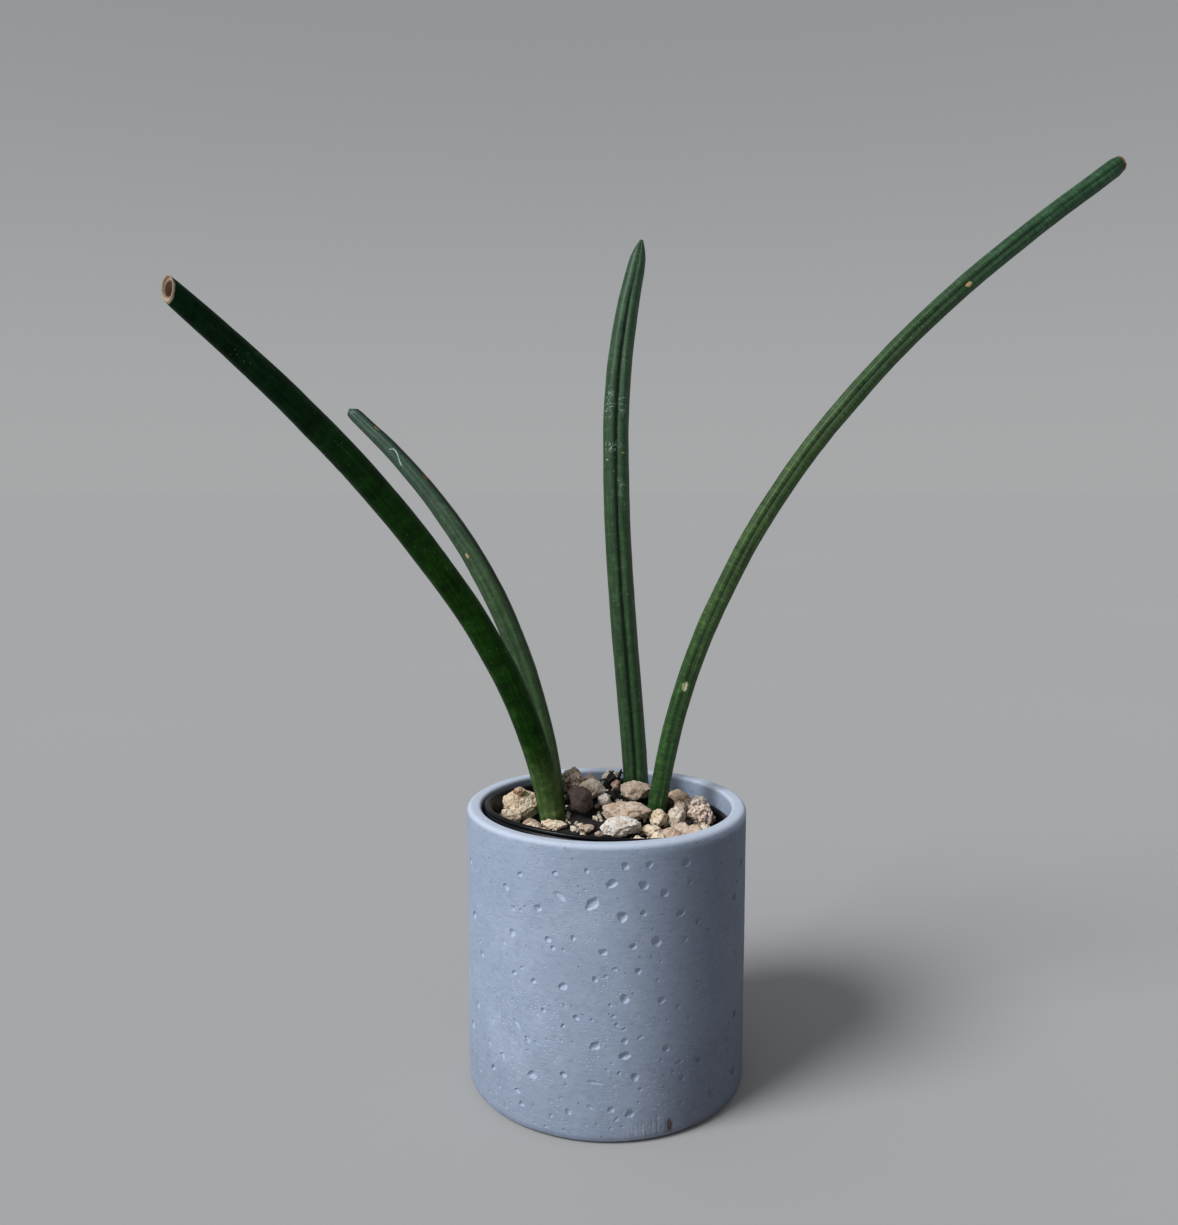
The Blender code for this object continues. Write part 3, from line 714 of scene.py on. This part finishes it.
# pale, middle and dark tone, rust, and how strongly rust and pores show
stoneLooks = {
    "stone_beige": (
        (0.86, 0.72, 0.54), (0.68, 0.51, 0.35), (0.13, 0.08, 0.05), (0.42, 0.22, 0.1), 0.4, 0.8),
    "stone_cream": (
        (0.74, 0.65, 0.53), (0.56, 0.43, 0.32), (0.14, 0.09, 0.06), (0.45, 0.26, 0.14), 0.35, 0.8),
    "stone_white": (
        (0.86, 0.81, 0.75), (0.62, 0.5, 0.39), (0.06, 0.042, 0.034), (0.48, 0.3, 0.17), 0.45, 0.9),
    "stone_pink": (
        (0.66, 0.53, 0.42), (0.46, 0.31, 0.22), (0.14, 0.08, 0.055), (0.4, 0.2, 0.11), 0.5, 0.7),
    "stone_brown": (
        (0.6, 0.46, 0.35), (0.38, 0.25, 0.17), (0.05, 0.026, 0.018), (0.28, 0.12, 0.06), 0.5, 1.0),
    "stone_rust": (
        (0.62, 0.46, 0.32), (0.32, 0.15, 0.065), (0.11, 0.05, 0.025), (0.3, 0.12, 0.05), 0.5, 0.8),
    "stone_bark": (
        (0.075, 0.052, 0.044), (0.042, 0.027, 0.022), (0.009, 0.006, 0.005), (0.07, 0.034, 0.022),
        0.5, 0.3),
    "stone_black": (
        (0.014, 0.01, 0.009), (0.005, 0.004, 0.004), (0.002, 0.002, 0.002), (0.02, 0.01, 0.008),
        0.3, 0.7),
}
stonePlan = {
    "cell": 0.34,
    "fillerCell": 0.5,
    "smoothing": 4,
    # broken faces: how many, and the share of the stone's reach at which they cut it
    "broken": (13, (0.74, 0.9)),
    "brokenOtherwise": {"bark_chunk": (9, (0.58, 0.84)), "stone_large_beige": (10, (0.7, 0.9))},
    # size and depth of each layer of relief, and the level that stays in place
    "lumps": (5.0, 2.6, 0.34),
    "grain": (1.5, 0.75, 0.5),
    "crags": (2.6, 0.7, 0.5),
    "pores": (1.15, 0.5, 0.4),
    "barkRelief": 0.45,
    "crumbly": ("stone_porous_brown", "stone_cream_crumb", "stone_tan_porous", "bark_black"),
    "crumbColour": (0.88, 0.72, 0.61),
    "crumblyRelief": 1.4,
    # stretch of the width, the depth and the height, and a shift
    "fits": {
        "stone_large_beige": ((1.16, 1.05, 0.98), (-0.2, -0.5, -1.2)),
        "stone_flat_tan": ((1.22, 1.0, 0.66), (0, 0, 0)),
        "bark_chunk": ((1.2, 1.1, 1.14), (0, 0, 0)),
        "bark_black": ((0.95, 0.9, 0.62), (0, 0, 0)),
        "stone_pink_long": ((1.18, 1.0, 1.0), (-0.4, 0, 0)),
        "stone_big_brown_pink": ((1.38, 1.05, 0.95), (0.6, -1.6, -0.8)),
        "stone_white_porous": ((1.2, 1.0, 0.84), (0.6, 0, 0)),
        "stone_flat_grey": ((1.35, 1.0, 0.72), (1.0, 0, 0)),
        "stone_orange_top": ((1.35, 1.0, 0.95), (0.8, 0, 0)),
        "stone_small_pinkish": ((1.05, 1.0, 0.66), (0, 0, 0)),
        "stone_round_beige": ((1.0, 1.0, 0.88), (0, 0, 0)),
    },
    "splinters": 26,
    "splinterSpot": (4.6, 33.0, 121.6),
    "splinterSpread": (3.4, 1.6, 1.3),
    "splinterSizes": (3.0, 8.0),
    # a small reddish stone on the large beige one: place, size
    "knob": ((-38.4, 12.0, 122.0), (5.6, 4.2, 3.8)),
}


def stoneFinish(slot, crumbly=False):
    light, mid, dark, rustColour, rustShare, poreShare = stoneLooks[slot]
    sheet = Sheet(slot.replace("stone_", "crumbsOf" if crumbly else "stoneOf"), 0.88, 0.45)
    places = sheet.places()
    patches = sheet.noise(places, 0.17, 3, 0.6)
    lumps = sheet.noise(places, 0.6, 5, 0.7)
    grain = sheet.noise(places, 2.8, 4, 0.75)
    pores = sheet.cells(places, 0.95).between(0.24, 0.1) * lumps.between(0.44, 0.56)
    finePores = sheet.cells(places, 2.1).between(0.26, 0.12)
    pits = sheet.cells(places, 0.5).between(0.24, 0.12) * lumps.between(0.48, 0.58)
    colour = sheet.layered(
        light,
        (mid, patches.between(0.42, 0.66) * 0.8),
        (mid, lumps.between(0.55, 0.75) * 0.6),
        (light, grain.between(0.55, 0.8) * 0.5),
        (dark, pores * poreShare * 0.9),
        (dark, finePores * poreShare * 0.45),
        (dark, pits * poreShare * 0.8))
    if crumbly:
        # each crumb has a tone of its own
        tone = sheet.axes(sheet.cells(places, 1.05, "Color"))[0]
        colour = sheet.layered(
            colour,
            (dark, tone.between(0.66, 0.84) * 0.8),
            (stonePlan["crumbColour"], tone.between(0.62, 0.4) * 0.9))
    # rust here and there; paler where the relief stands out and darker in its hollows, partly worn edges
    # and dirt, partly painted highlight and painted shade
    rust = sheet.noise(places, 0.28, 4, 0.65).between(0.54, 0.7)
    relief = sheet.node("Attribute", {"attribute_name": "relief"}, output="Fac")
    colour = sheet.layered(
        colour,
        (rustColour, rust * rustShare),
        (light, relief.between(0.05, 0.4) * 0.45),
        (dark, relief.between(-0.08, -0.42) * (0.45 if crumbly else 0.8)))
    height = lumps + 0.5 * grain - 0.8 * pores - 0.35 * finePores - pits
    return sheet.paint(colour, height, 0.9, 0.8 + 0.15 * grain)


def refit(stone, shares, shift):
    # stretches a stone from the middle of its underside, and moves it
    places = [point.co for point in stone.data.vertices]
    foot = sum(places, Vector()) / len(places)
    foot.z = min(place.z for place in places)
    stretched = Matrix.Translation(foot) @ Matrix.Diagonal((*shares, 1)) @ Matrix.Translation(-foot)
    stone.data.transform(Matrix.Translation(Vector(shift) * mm) @ stretched)


def addKnob(finish):
    place, size = (Vector(triple) * mm for triple in stonePlan["knob"])
    knob = roughBall("stoneKnob", 5, 0.5, cloudTexture(0.4, 3), 0.5)
    breakFaces(knob, 9, (0.75, 0.92), 3)
    knob.data.transform(Matrix.Translation(place) @ Matrix.Diagonal((*size, 1)))
    finishPiece(knob, 60, finish, "stone_rust")


def addSplinters(finish):
    # thin dark bits of bark that stick out of the heap at the back
    plan = stonePlan
    sliver = roughBall("sliver", 3, 0.5, cloudTexture(0.4, 3), 0.6)
    breakFaces(sliver, 8, (0.65, 0.9), 5)
    draw = random.Random(11)
    slivers = []
    for _ in range(plan["splinters"]):
        length = draw.uniform(*plan["splinterSizes"])
        away = Vector([draw.gauss(0, spread) for spread in plan["splinterSpread"]])
        place = Matrix.Translation((Vector(plan["splinterSpot"]) + away) * mm)
        lean = Matrix.Rotation(draw.uniform(0, 3.14), 4, "Y")
        lean = lean @ Matrix.Rotation(draw.uniform(-0.7, 0.7), 4, "Z")
        width = length * draw.uniform(0.16, 0.34)
        shape = Matrix.Diagonal((length * mm, width * mm, length * 0.2 * mm, 1))
        slivers.append(copyOf(sliver, "sliver", place @ lean @ shape))
    removeAll(sliver)
    finishPiece(joinAll(slivers, "barkSplinters"), 60, finish, "stone_black")


def makeStones():
    plan = stonePlan
    finishes = {slot: stoneFinish(slot) for slot in stoneLooks}
    crumblyFinishes = {slot: stoneFinish(slot, True) for slot in ("stone_brown", "stone_cream")}
    lumps, grain, crags = (cloudTexture(plan[key][0] * mm, 3) for key in ("lumps", "grain", "crags"))
    crags.noise_type = "HARD_NOISE"
    pores = cellTexture(plan["pores"][0] * mm)
    for part in frame["record"]["subparts"]:
        node, slot = part["node"], part["material_slot"]
        if slot not in finishes:
            continue
        stone = copyOfNode(node, pieceName(node))
        cell = plan["fillerCell" if "filler" in node else "cell"]
        modify(stone, "REMESH", mode="VOXEL", voxel_size=cell * mm)
        modify(stone, "SMOOTH", factor=0.5, iterations=plan["smoothing"])
        share, finish = 1, finishes[slot]
        if slot == "stone_bark":
            share = plan["barkRelief"]
        if node in plan["crumbly"]:
            share, finish = plan["crumblyRelief"], crumblyFinishes.get(slot, finish)
        roughen(stone, lumps, plan["lumps"][1] * share * mm, plan["lumps"][2])
        if share <= 1:
            breakFaces(stone, *plan["brokenOtherwise"].get(node, plan["broken"]), node)
            modify(stone, "SMOOTH", factor=0.5, iterations=1)
        before = [point.co.copy() for point in stone.data.vertices]
        normals = [point.normal.copy() for point in stone.data.vertices]
        for texture, key in ((crags, "crags"), (grain, "grain"), (pores, "pores")):
            roughen(stone, texture, plan[key][1] * share * mm, plan[key][2])
        noteRelief(stone, before, normals)
        if node in plan["fits"]:
            refit(stone, *plan["fits"][node])
        finishPiece(stone, 60, finish, slot, node)
    addKnob(finishes["stone_rust"])
    addSplinters(finishes["stone_black"])
    print("stones and bark done")
    return finishes


stoneFinishes = makeStones()


def scatter(name, count, sizes, seed, levels):
    # bits of one rough grain, turned and sized at random, lying on the soil wherever it is bare
    grain = roughBall("grain", levels, 0.5, cloudTexture(0.45), 0.7)
    breakFaces(grain, 9, (0.7, 0.9), seed)
    draw = random.Random(seed)
    graph = bpy.context.evaluated_depsgraph_get()
    bits = []
    while len(bits) < count:
        angle, across = draw.uniform(0, 2 * math.pi), soilPlan["reach"] * mm * math.sqrt(draw.random())
        size = draw.uniform(*sizes) * mm
        start = (across * math.cos(angle), across * math.sin(angle), 200 * mm)
        _, place, _, _, hit, _ = bpy.context.scene.ray_cast(graph, start, (0, 0, -1))
        turn = Matrix.Rotation(draw.uniform(0, 6.28), 4, (draw.uniform(-1, 1), draw.uniform(-1, 1), 0.5))
        shape = Matrix.Diagonal((size, size * draw.uniform(0.6, 1), size * draw.uniform(0.5, 0.9), 1))
        if hit and hit.name == "pottingSoil":
            sink = Vector((0, 0, size * 0.12))
            bits.append(copyOf(grain, "bit", Matrix.Translation(place + sink) @ turn @ shape))
    removeAll(grain)
    return joinAll(bits, name)


def makeLitter():
    plan = soilPlan
    crumbs = scatter("soilCrumbs", plan["crumbs"], plan["crumbSizes"], plan["seed"], 2)
    finishPiece(crumbs, 50, soilFinish("soilCrumb", *plan["crumbColours"]), "potting_soil")
    grits = scatter("stoneGrit", plan["grits"], plan["gritSizes"], plan["seed"] + 1, 3)
    finishPiece(grits, 50, stoneFinishes["stone_cream"], "stone_cream")
    print("crumbs and grit:", len(crumbs.data.polygons) + len(grits.data.polygons), "faces")


# leaves: each is made straight along X and then bent along its own line

leafPlans = {
    "leaf_front_left": {
        "route": ((-23.5, 10, 111), (-34, 2, 154), (-50.5, -9, 193), (-70, -22, 226),
                  (-91, -36, 256), (-111, -52, 281), (-130, -69, 302.6), (-148, -87, 321.6)),
        "widths": (11.7, 11.8, 8.2), "taper": 2.4, "end": "cut", "slant": (-0.5, -0.4), "rind": 0.7,
        "ribs": 5, "ribDepth": 0.02,
        "endColours": ((0.42, 0.32, 0.23), (0.055, 0.026, 0.016)),  # dried skin, dried flesh
        "darkens": (0.1, 0.25),
        "base": (0.078, 0.138, 0.044), "middle": (0.008, 0.039, 0.0036), "tip": (0.0024, 0.019, 0.0052),
        "bands": 1.0, "ticks": 0.06, "rings": 0.008, "gloss": 0.05,
        "dust": 0.04, "fleckAmount": 0.25,
    },
    "leaf_back_left": {
        "route": ((-25, 27, 125), (-32, 31, 157), (-42, 38, 186), (-56, 45, 215), (-74, 54, 242),
                  (-96, 63, 268), (-120, 72, 291)),
        "widths": (10.2, 10.4, 6.4), "taper": 1.6, "end": "chisel", "slant": (0.35, 0.0),
        "ribs": 6, "ribDepth": 0.1,
        "base": (0.052, 0.112, 0.029), "middle": (0.028, 0.068, 0.021), "tip": (0.027, 0.067, 0.042),
        "bands": 0.4, "ticks": 0.2, "rings": 0.01, "gloss": 0.3,
        "dust": 0.16, "fleckAmount": 0.35,
        # distance along the leaf, turn round it, half length, half width, colour
        "marks": (
            (219, 0.415, 2.4, 1.3, (0.62, 0.33, 0.12)),
            (185, 0.44, 2.4, 1.5, (0.56, 0.12, 0.05)),
            (141, 0.194, 1.6, 1.0, (0.42, 0.3, 0.16)),
        ),
        # turn of a dark margin, and the top of a hook-shaped scratch: distance along, turn
        "margin": 0.435, "hook": (204.0, 0.315),
    },
    "leaf_centre": {
        "route": ((14, 29, 123), (10.5, 32, 168), (7, 35, 212), (5, 40, 256), (5.5, 45, 300),
                  (9.9, 49, 336), (13.9, 51, 355.6)),
        "widths": (11.3, 11.8, 8.2), "taper": 4.5, "end": "point",
        "ribs": 6, "ribDepth": 0.034, "furrow": 0.24, "furrowTurn": 0.232,
        "base": (0.024, 0.068, 0.021), "middle": (0.021, 0.058, 0.02), "tip": (0.028, 0.074, 0.034),
        "bands": 0.35, "ticks": 0.25, "rings": 0.01, "gloss": 0.28,
        "dust": 0.22, "fleckAmount": 0.6,
        "marks": (
            (178, 0.125, 0.5, 1.0, (0.34, 0.36, 0.16)),
            (181, 0.345, 0.4, 1.3, (0.34, 0.36, 0.16)),
        ),
        # distance along the leaf, turn round it, half length, half width, strength
        "scratches": (
            (203, 0.14, 9, 4, 0.8), (204, 0.33, 8, 3, 0.55),
            (184, 0.19, 3, 7, 0.8), (166, 0.3, 6, 3, 0.4),
        ),
    },
    "leaf_right": {
        "route": ((22.5, 11, 115), (33.8, 12, 167), (52.4, 13, 214), (77, 15, 257), (108, 16, 297),
                  (142, 18, 332), (180, 20, 364), (217.4, 22, 392.1)),
        "widths": (8.4, 8.8, 8.0), "taper": 1.6, "end": "rounded", "slant": (0.1, 0.0), "rind": 0.9,
        "ribs": 7, "ribDepth": 0.05, "furrow": 0.13, "furrowTurn": 0.262,
        "endColours": ((0.21, 0.095, 0.045), (0.1, 0.05, 0.022)),
        "base": (0.024, 0.074, 0.017), "middle": (0.028, 0.07, 0.013), "tip": (0.018, 0.06, 0.024),
        "bands": 0.5, "ticks": 0.55, "rings": 0.022, "gloss": 0.26,
        "dust": 0.1, "fleckAmount": 0.5,
        "marks": (
            (88, 0.232, 2.7, 1.5, (0.62, 0.6, 0.38)),
            (300, 0.275, 1.7, 1.4, (0.42, 0.28, 0.13)),
        ),
    },
}
frontTurn = 0.25  # the turn round a leaf that faces the front
# what a leaf's plan doesn't say
plainLeaf = {
    "slant": (0.0, 0.0), "furrow": 0.0, "furrowTurn": frontTurn, "darkens": (0.1, 0.42),
    "marks": (), "scratches": (),
}
leafShape = {
    "sides": 80,
    "ringStep": 1.0,
    "depth": 32.0,  # in the soil
    "footDrop": 1.0,
    "footNarrowing": 0.18,
    "footLength": 0.06,
    "ribSharpness": 1.6,
    "furrowWidth": 0.34,
    "furrowFade": 0.2,
    "furrowDepths": (0.75, 0.45),  # of the wide hollow and of the narrow one at its bottom
    "furrowNarrowing": 9,
    "ringGap": 1.4,
    "slantLength": 18.0,
    "sway": (14, 0.3),  # size, depth
    # shades that multiply the green, and colours laid over it
    "paler": (2.1, 1.75, 1.9),
    "deeper": (0.42, 0.52, 0.45),
    # painted shade along the bottom of the main furrow
    "furrowColour": (0.005, 0.018, 0.008),
    "dustColour": (0.24, 0.28, 0.24),
    "fleckColour": (0.34, 0.4, 0.22),
    "scratchColour": (0.42, 0.5, 0.45),
    "marginColour": (0.012, 0.012, 0.008),
    "hookColour": (0.5, 0.58, 0.56),
    # each step inwards on the cut end: share of the size that stays, rise in leaf widths
    "hollow": ((0.93, 0.012), (0.93, -0.015), (0.9, -0.07), (0.62, -0.03), (0.7, 0.04), (0.5, 0.015)),
    # how the outline closes beyond the last point: step along the leaf in radii, share of the radius
    "ends": {
        "cut": ((0.0, 1.0), (0.12, 0.97), (0.14, 0.96)),
        "rounded": ((0.0, 1.0), (0.2, 0.97), (0.36, 0.91), (0.45, 0.84), (0.48, 0.78)),
        "chisel": ((0.0, 1.0), (0.5, 0.9), (0.95, 0.72), (1.15, 0.52), (1.22, 0.3), (1.24, 0.12)),
        "point": ((0.0, 1.0), (0.65, 0.94), (1.35, 0.82), (1.95, 0.65), (2.35, 0.5), (2.62, 0.4),
                  (2.88, 0.3), (3.08, 0.19)),
    },
}


def leafLine(plan):
    # the line lies on its side here, because a curve keeps its twist towards its own up: the front
    points = [Vector(point) for point in plan["route"]]
    down = (points[0] - points[1]).normalized() + leafShape["footDrop"] * Vector((0, 0, -1))
    points.insert(0, points[0] + down.normalized() * leafShape["depth"])
    bpy.ops.curve.primitive_bezier_curve_add()
    line = nameNew("leafLine")
    line.data.twist_mode = "Z_UP"
    line.data.resolution_u = 24
    spline = line.data.splines[0]
    spline.bezier_points.add(len(points) - len(spline.bezier_points))
    for knot, point in zip(spline.bezier_points, points):
        knot.handle_left_type = knot.handle_right_type = "AUTO"
        knot.co = Matrix.Rotation(math.radians(-90), 3, "X") @ point * mm
    return line


def leafReach(plan, along, lineLength, turn):
    # the leaf's radius in millimetres at a distance along it and a turn round it
    shape = leafShape
    share = min(1.0, along / lineLength)
    base, middle, end = plan["widths"]
    if share < 0.5:
        width = base + (middle - base) * share * 2
    else:
        width = middle + (end - middle) * (share * 2 - 1) ** plan["taper"]
    width *= 1 - shape["footNarrowing"] * max(0.0, 1 - share / shape["footLength"])
    beyond = (along - lineLength) / (end / 2)
    ends = shape["ends"][plan["end"]]
    for (fromStep, fromShare), (toStep, toShare) in zip(ends, ends[1:]):
        if beyond > fromStep:
            part = min(1.0, (beyond - fromStep) / (toStep - fromStep))
            closing = fromShare + (toShare - fromShare) * part
    if beyond > 0:
        width *= closing
    angle = 2 * math.pi * (turn - frontTurn)
    ribs = plan["ribDepth"] * ((1 + math.cos(plan["ribs"] * angle)) / 2) ** shape["ribSharpness"]
    away = math.remainder(turn - plan["furrowTurn"], 1.0) * 2 * math.pi / shape["furrowWidth"]
    fade = min(1.0, share / shape["furrowFade"], max(0.0, 1.06 - share) / shape["furrowFade"])
    wide, narrow = shape["furrowDepths"]
    hollow = wide * math.exp(-away * away) + narrow * math.exp(-shape["furrowNarrowing"] * away * away)
    place = (along / shape["ringGap"], math.cos(angle) * 0.7, math.sin(angle) * 0.7)
    rings = plan["rings"] * noise.noise(place)
    return width / 2 * (1 - ribs - plan["furrow"] * fade * hollow + rings)


def makeLeaf(node, plan):
    name = pieceName(node)
    line = leafLine(plan)
    lineLength = line.data.splines[0].calc_length() / mm
    length = lineLength + leafShape["ends"][plan["end"]][-1][0] * plan["widths"][2] / 2
    bpy.ops.mesh.primitive_cylinder_add(
        vertices=leafShape["sides"], radius=mm, depth=length * mm, end_fill_type="NGON",
        location=(length / 2 * mm, 0, 0), rotation=(0, math.radians(90), 0))
    leaf = nameNew(name)
    settle(leaf)
    startPicking(leaf, "EDGE")
    for edge in leaf.data.edges:
        low, high = (leaf.data.vertices[k].co.x for k in edge.vertices)
        edge.select = abs(high - low) > length / 2 * mm
    setMode("EDIT")
    bpy.ops.mesh.subdivide(number_cuts=round(length / leafShape["ringStep"]))
    setMode("OBJECT")
    for vertex in leaf.data.vertices:
        turn = frontTurn + math.atan2(vertex.co.y, vertex.co.z) / (2 * math.pi)
        vertex.co.yz *= leafReach(plan, vertex.co.x / mm, lineLength, turn)
        nearEnd = max(0.0, 1 - (length - vertex.co.x / mm) / leafShape["slantLength"])
        vertex.co.x += nearEnd * (plan["slant"][0] * vertex.co.y + plan["slant"][1] * vertex.co.z)
    modify(leaf, "CURVE", object=line, deform_axis="POS_X")
    leaf.data.transform(Matrix.Rotation(math.radians(90), 4, "X"))
    removeAll(line)
    cutMiddle = hollowEnd(leaf, plan["widths"][2]) if "endColours" in plan else None
    outwards(leaf)
    size, depth = leafShape["sway"]
    roughen(leaf, cloudTexture(size * mm), depth * mm)
    finishPiece(leaf, 40, leafFinish(name, plan, length, cutMiddle), node + "_skin", node)
    print(name, len(leaf.data.polygons), "faces,", round(lineLength), "mm along its line")


def hollowEnd(leaf, width):
    # the cut end has dried: its skin stands as a thin ring round a sunken middle
    startPicking(leaf, "FACE")
    tip = max(leaf.data.polygons, key=lambda face: (len(face.vertices) > 4) * face.center.z)
    outward, middle = tip.normal.copy(), tip.center / mm
    tip.select = True
    setMode("EDIT")
    for share, rise in leafShape["hollow"]:
        bpy.ops.mesh.extrude_region_move(TRANSFORM_OT_translate={"value": outward * rise * width * mm})
        bpy.ops.transform.resize(value=(share, share, share))
    setMode("OBJECT")
    return middle


def leafFinish(name, plan, length, cutMiddle):
    sheet = Sheet(name + "Skin", 0.42, 0.22)
    sheet.feed(sheet.shader.inputs["Specular IOR Level"], plan["gloss"])
    around, height, _ = sheet.axes(sheet.node("TexCoord", output="UV"))
    share = (height - 0.5) * 2
    along = share * length
    angle = around * (2 * math.pi)
    cosine, sine = angle.cosine(), angle.sine()
    girth = plan["widths"][1] * math.pi
    shape = leafShape

    def skin(across, lengthwise):
        # places on the straight leaf in millimetres, each direction with its own scale
        wide = 5 * across  # as if the leaf were 10 mm thick all along
        return sheet.node("CombineXYZ", inputs={0: cosine * wide, 1: sine * wide, 2: along * lengthwise})

    layers = [
        (plan["middle"], share.between(*plan["darkens"])),
        (plan["tip"], share.between(0.48, 0.92))]
    bands = sheet.noise(skin(0.1, 0.16), 1.0, 4, 0.62)
    streaks = sheet.noise(skin(1.3, 0.035), 1.0, 4, 0.6)
    mottle = sheet.noise(skin(0.55, 0.3), 1.0, 5, 0.7)
    ticks = sheet.noise(skin(0.14, 0.95), 1.0, 3, 0.6)
    patterns = (
        (bands, 0.8 * plan["bands"]), (streaks, 0.6), (mottle, 0.5), (ticks, 1.2 * plan["ticks"]))
    for pattern, amount in patterns:
        layers += [
            (shape["paler"], pattern.between(0.5, 0.7) * amount, "MULTIPLY"),
            (shape["deeper"], pattern.between(0.5, 0.32) * amount, "MULTIPLY")]
    # painted shade: furrows are darker at their bottom, where shade falls
    ribs = (((around - frontTurn) * (2 * math.pi * plan["ribs"])).cosine() + 1) * 0.5
    layers += [(shape["deeper"], ribs ** 5 * min(1.0, plan["ribDepth"] * 9), "MULTIPLY")]
    if plan["furrow"]:
        groove = abs(around - plan["furrowTurn"]).between(0.034, 0.0) * share.between(0.98, 0.85)
        layers += [(shape["furrowColour"], groove ** 2 * min(1.0, plan["furrow"] * 6))]
    # dust, flecks and single marks
    dust = sheet.noise(skin(0.25, 0.12), 1.0, 6, 0.75)
    flecks = sheet.cells(skin(0.5, 0.42), 1.0).between(0.16, 0.06)
    flecks = flecks * sheet.noise(skin(0.08, 0.05), 1.0).between(0.5, 0.6)
    layers += [
        (shape["dustColour"], dust.between(0.52, 0.8) * plan["dust"]),
        (shape["fleckColour"], flecks * plan["fleckAmount"])]
    spots = sheet.node("CombineXYZ", inputs={0: around * girth, 1: along})
    edge = 0.9 * (sheet.noise(spots, 1.3, 3) - 0.5)
    for markAlong, markTurn, halfLength, halfWidth, markColour in plan["marks"]:
        near = sheet.far(spots, (markTurn * girth, markAlong, 0), (halfWidth, halfLength, 1)) + edge
        layers += [(markColour, near.between(1.0, 0.55) * 0.85)]
    # scratches: thin pale lines where a noise crosses its middle, within an oval
    hairs = abs(sheet.noise(spots, 0.33, 2) - 0.5).between(0.016, 0.004)
    for markAlong, markTurn, halfLength, halfWidth, strength in plan["scratches"]:
        near = sheet.far(spots, (markTurn * girth, markAlong, 0), (halfWidth, halfLength, 1))
        layers += [(shape["scratchColour"], near.between(1.0, 0.5) * hairs * strength)]
    if "margin" in plan:
        margin = abs(around + 0.04 * (mottle - 0.5) - plan["margin"]).between(0.04, 0.014)
        layers += [(shape["marginColour"], margin * share.between(0.35, 0.55) * 0.85)]
    if "hook" in plan:
        # it goes straight down the leaf with a bend, and its short upper end turns back
        down = plan["hook"][0] - along
        across = (around - plan["hook"][1]) * girth
        across = across + 3.4 * down.between(0, 8.2) + 1.8 * down.between(-0.6, -2.3)
        arc = (abs(across) + 0.25 * edge).between(0.42, 0.18)
        arc = arc * down.between(8.6, 7.0) * down.between(-2.6, -2.2)
        layers += [(shape["hookColour"], arc * 0.9)]
    if "endColours" in plan:
        # dried rind round the cut, and darker flesh inside it
        skinColour, fleshColour = plan["endColours"]
        rindStart = length - plan["rind"]
        rind = (along + 1.6 * (mottle - 0.5)).between(rindStart - 0.25, rindStart + 0.25)
        radius = plan["widths"][2] / 2
        away = sheet.far(sheet.places(), cutMiddle, (radius, radius, radius)) + 0.25 * (mottle - 0.5)
        layers += [
            (skinColour, rind), (skinColour, height.between(0.499, 0.49)),
            (fleshColour, away.between(0.88, 0.6))]
    relief = 0.5 * streaks + 0.25 * mottle + plan["ticks"] * ticks
    dusty = 0.3 * dust.between(0.5, 0.8) * plan["dust"]
    colour = sheet.layered(plan["base"], *layers)
    return sheet.paint(colour, relief, 0.5, 0.36 + 0.22 * mottle + dusty)


for leafNode, leafPlan in leafPlans.items():
    makeLeaf(leafNode, {**plainLeaf, **leafPlan})

makeLitter()

# floor, light and camera

setPlan = {
    "floorRadius": 80.0,
    "floorColour": (0.4, 0.4, 0.396),
    "horizonColour": (0.386, 0.393, 0.397),
    "skyColour": (0.285, 0.294, 0.31),
    "keyTurn": (47, 0, -58),  # the light comes from above and the left of the camera
    "keyColour": (0.97, 0.985, 1.0),
    "keyStrength": 3.2,
    "keySoftness": 26,
    "cameraPlace": (-0.0075, -0.4642, 0.2553),
    "cameraTilt": 83.6,
    "lens": 36 * 1100 / 1225,
    "sensor": 36,
}


def makeFloor():
    bpy.ops.mesh.primitive_circle_add(vertices=128, radius=setPlan["floorRadius"], fill_type="NGON")
    floor = nameNew("floor")
    sheet = Sheet("paleFloor", 0.9)
    sheet.feed(sheet.shader.inputs["Specular IOR Level"], 0.0)  # no sheen towards the light
    tone = sheet.noise(sheet.places(), 0.002, 3)
    deeper = tuple(share * 0.96 for share in setPlan["floorColour"])
    floor.data.materials.append(sheet.paint(sheet.blend(setPlan["floorColour"], deeper, tone)))


def makeSky():
    # soft light from all round, a little deeper upwards, so that the floor has no visible end
    sky = Sky("sky")
    upward = sky.axes(sky.node("TexCoord", output="Generated"))[2]
    colour = sky.blend(setPlan["horizonColour"], setPlan["skyColour"], upward.between(0.0, 0.45))
    sky.feed(sky.tree.nodes["Background"].inputs["Color"], colour)
    bpy.context.scene.world = sky.world


def makeSet():
    plan = setPlan
    makeFloor()
    makeSky()
    bpy.ops.object.light_add(type="SUN", rotation=[math.radians(turn) for turn in plan["keyTurn"]])
    key = nameNew("keyLight")
    key.data.energy = plan["keyStrength"]
    key.data.color = plan["keyColour"]
    key.data.angle = math.radians(plan["keySoftness"])
    tilt = math.radians(plan["cameraTilt"])
    bpy.ops.object.camera_add(location=plan["cameraPlace"], rotation=(tilt, 0, 0))
    camera = nameNew("camera")
    camera.data.lens = plan["lens"]
    camera.data.sensor_width = plan["sensor"]
    bpy.context.scene.camera = camera
    bpy.context.scene.view_settings.view_transform = "Standard"
    print("floor, light and camera set")


makeSet()
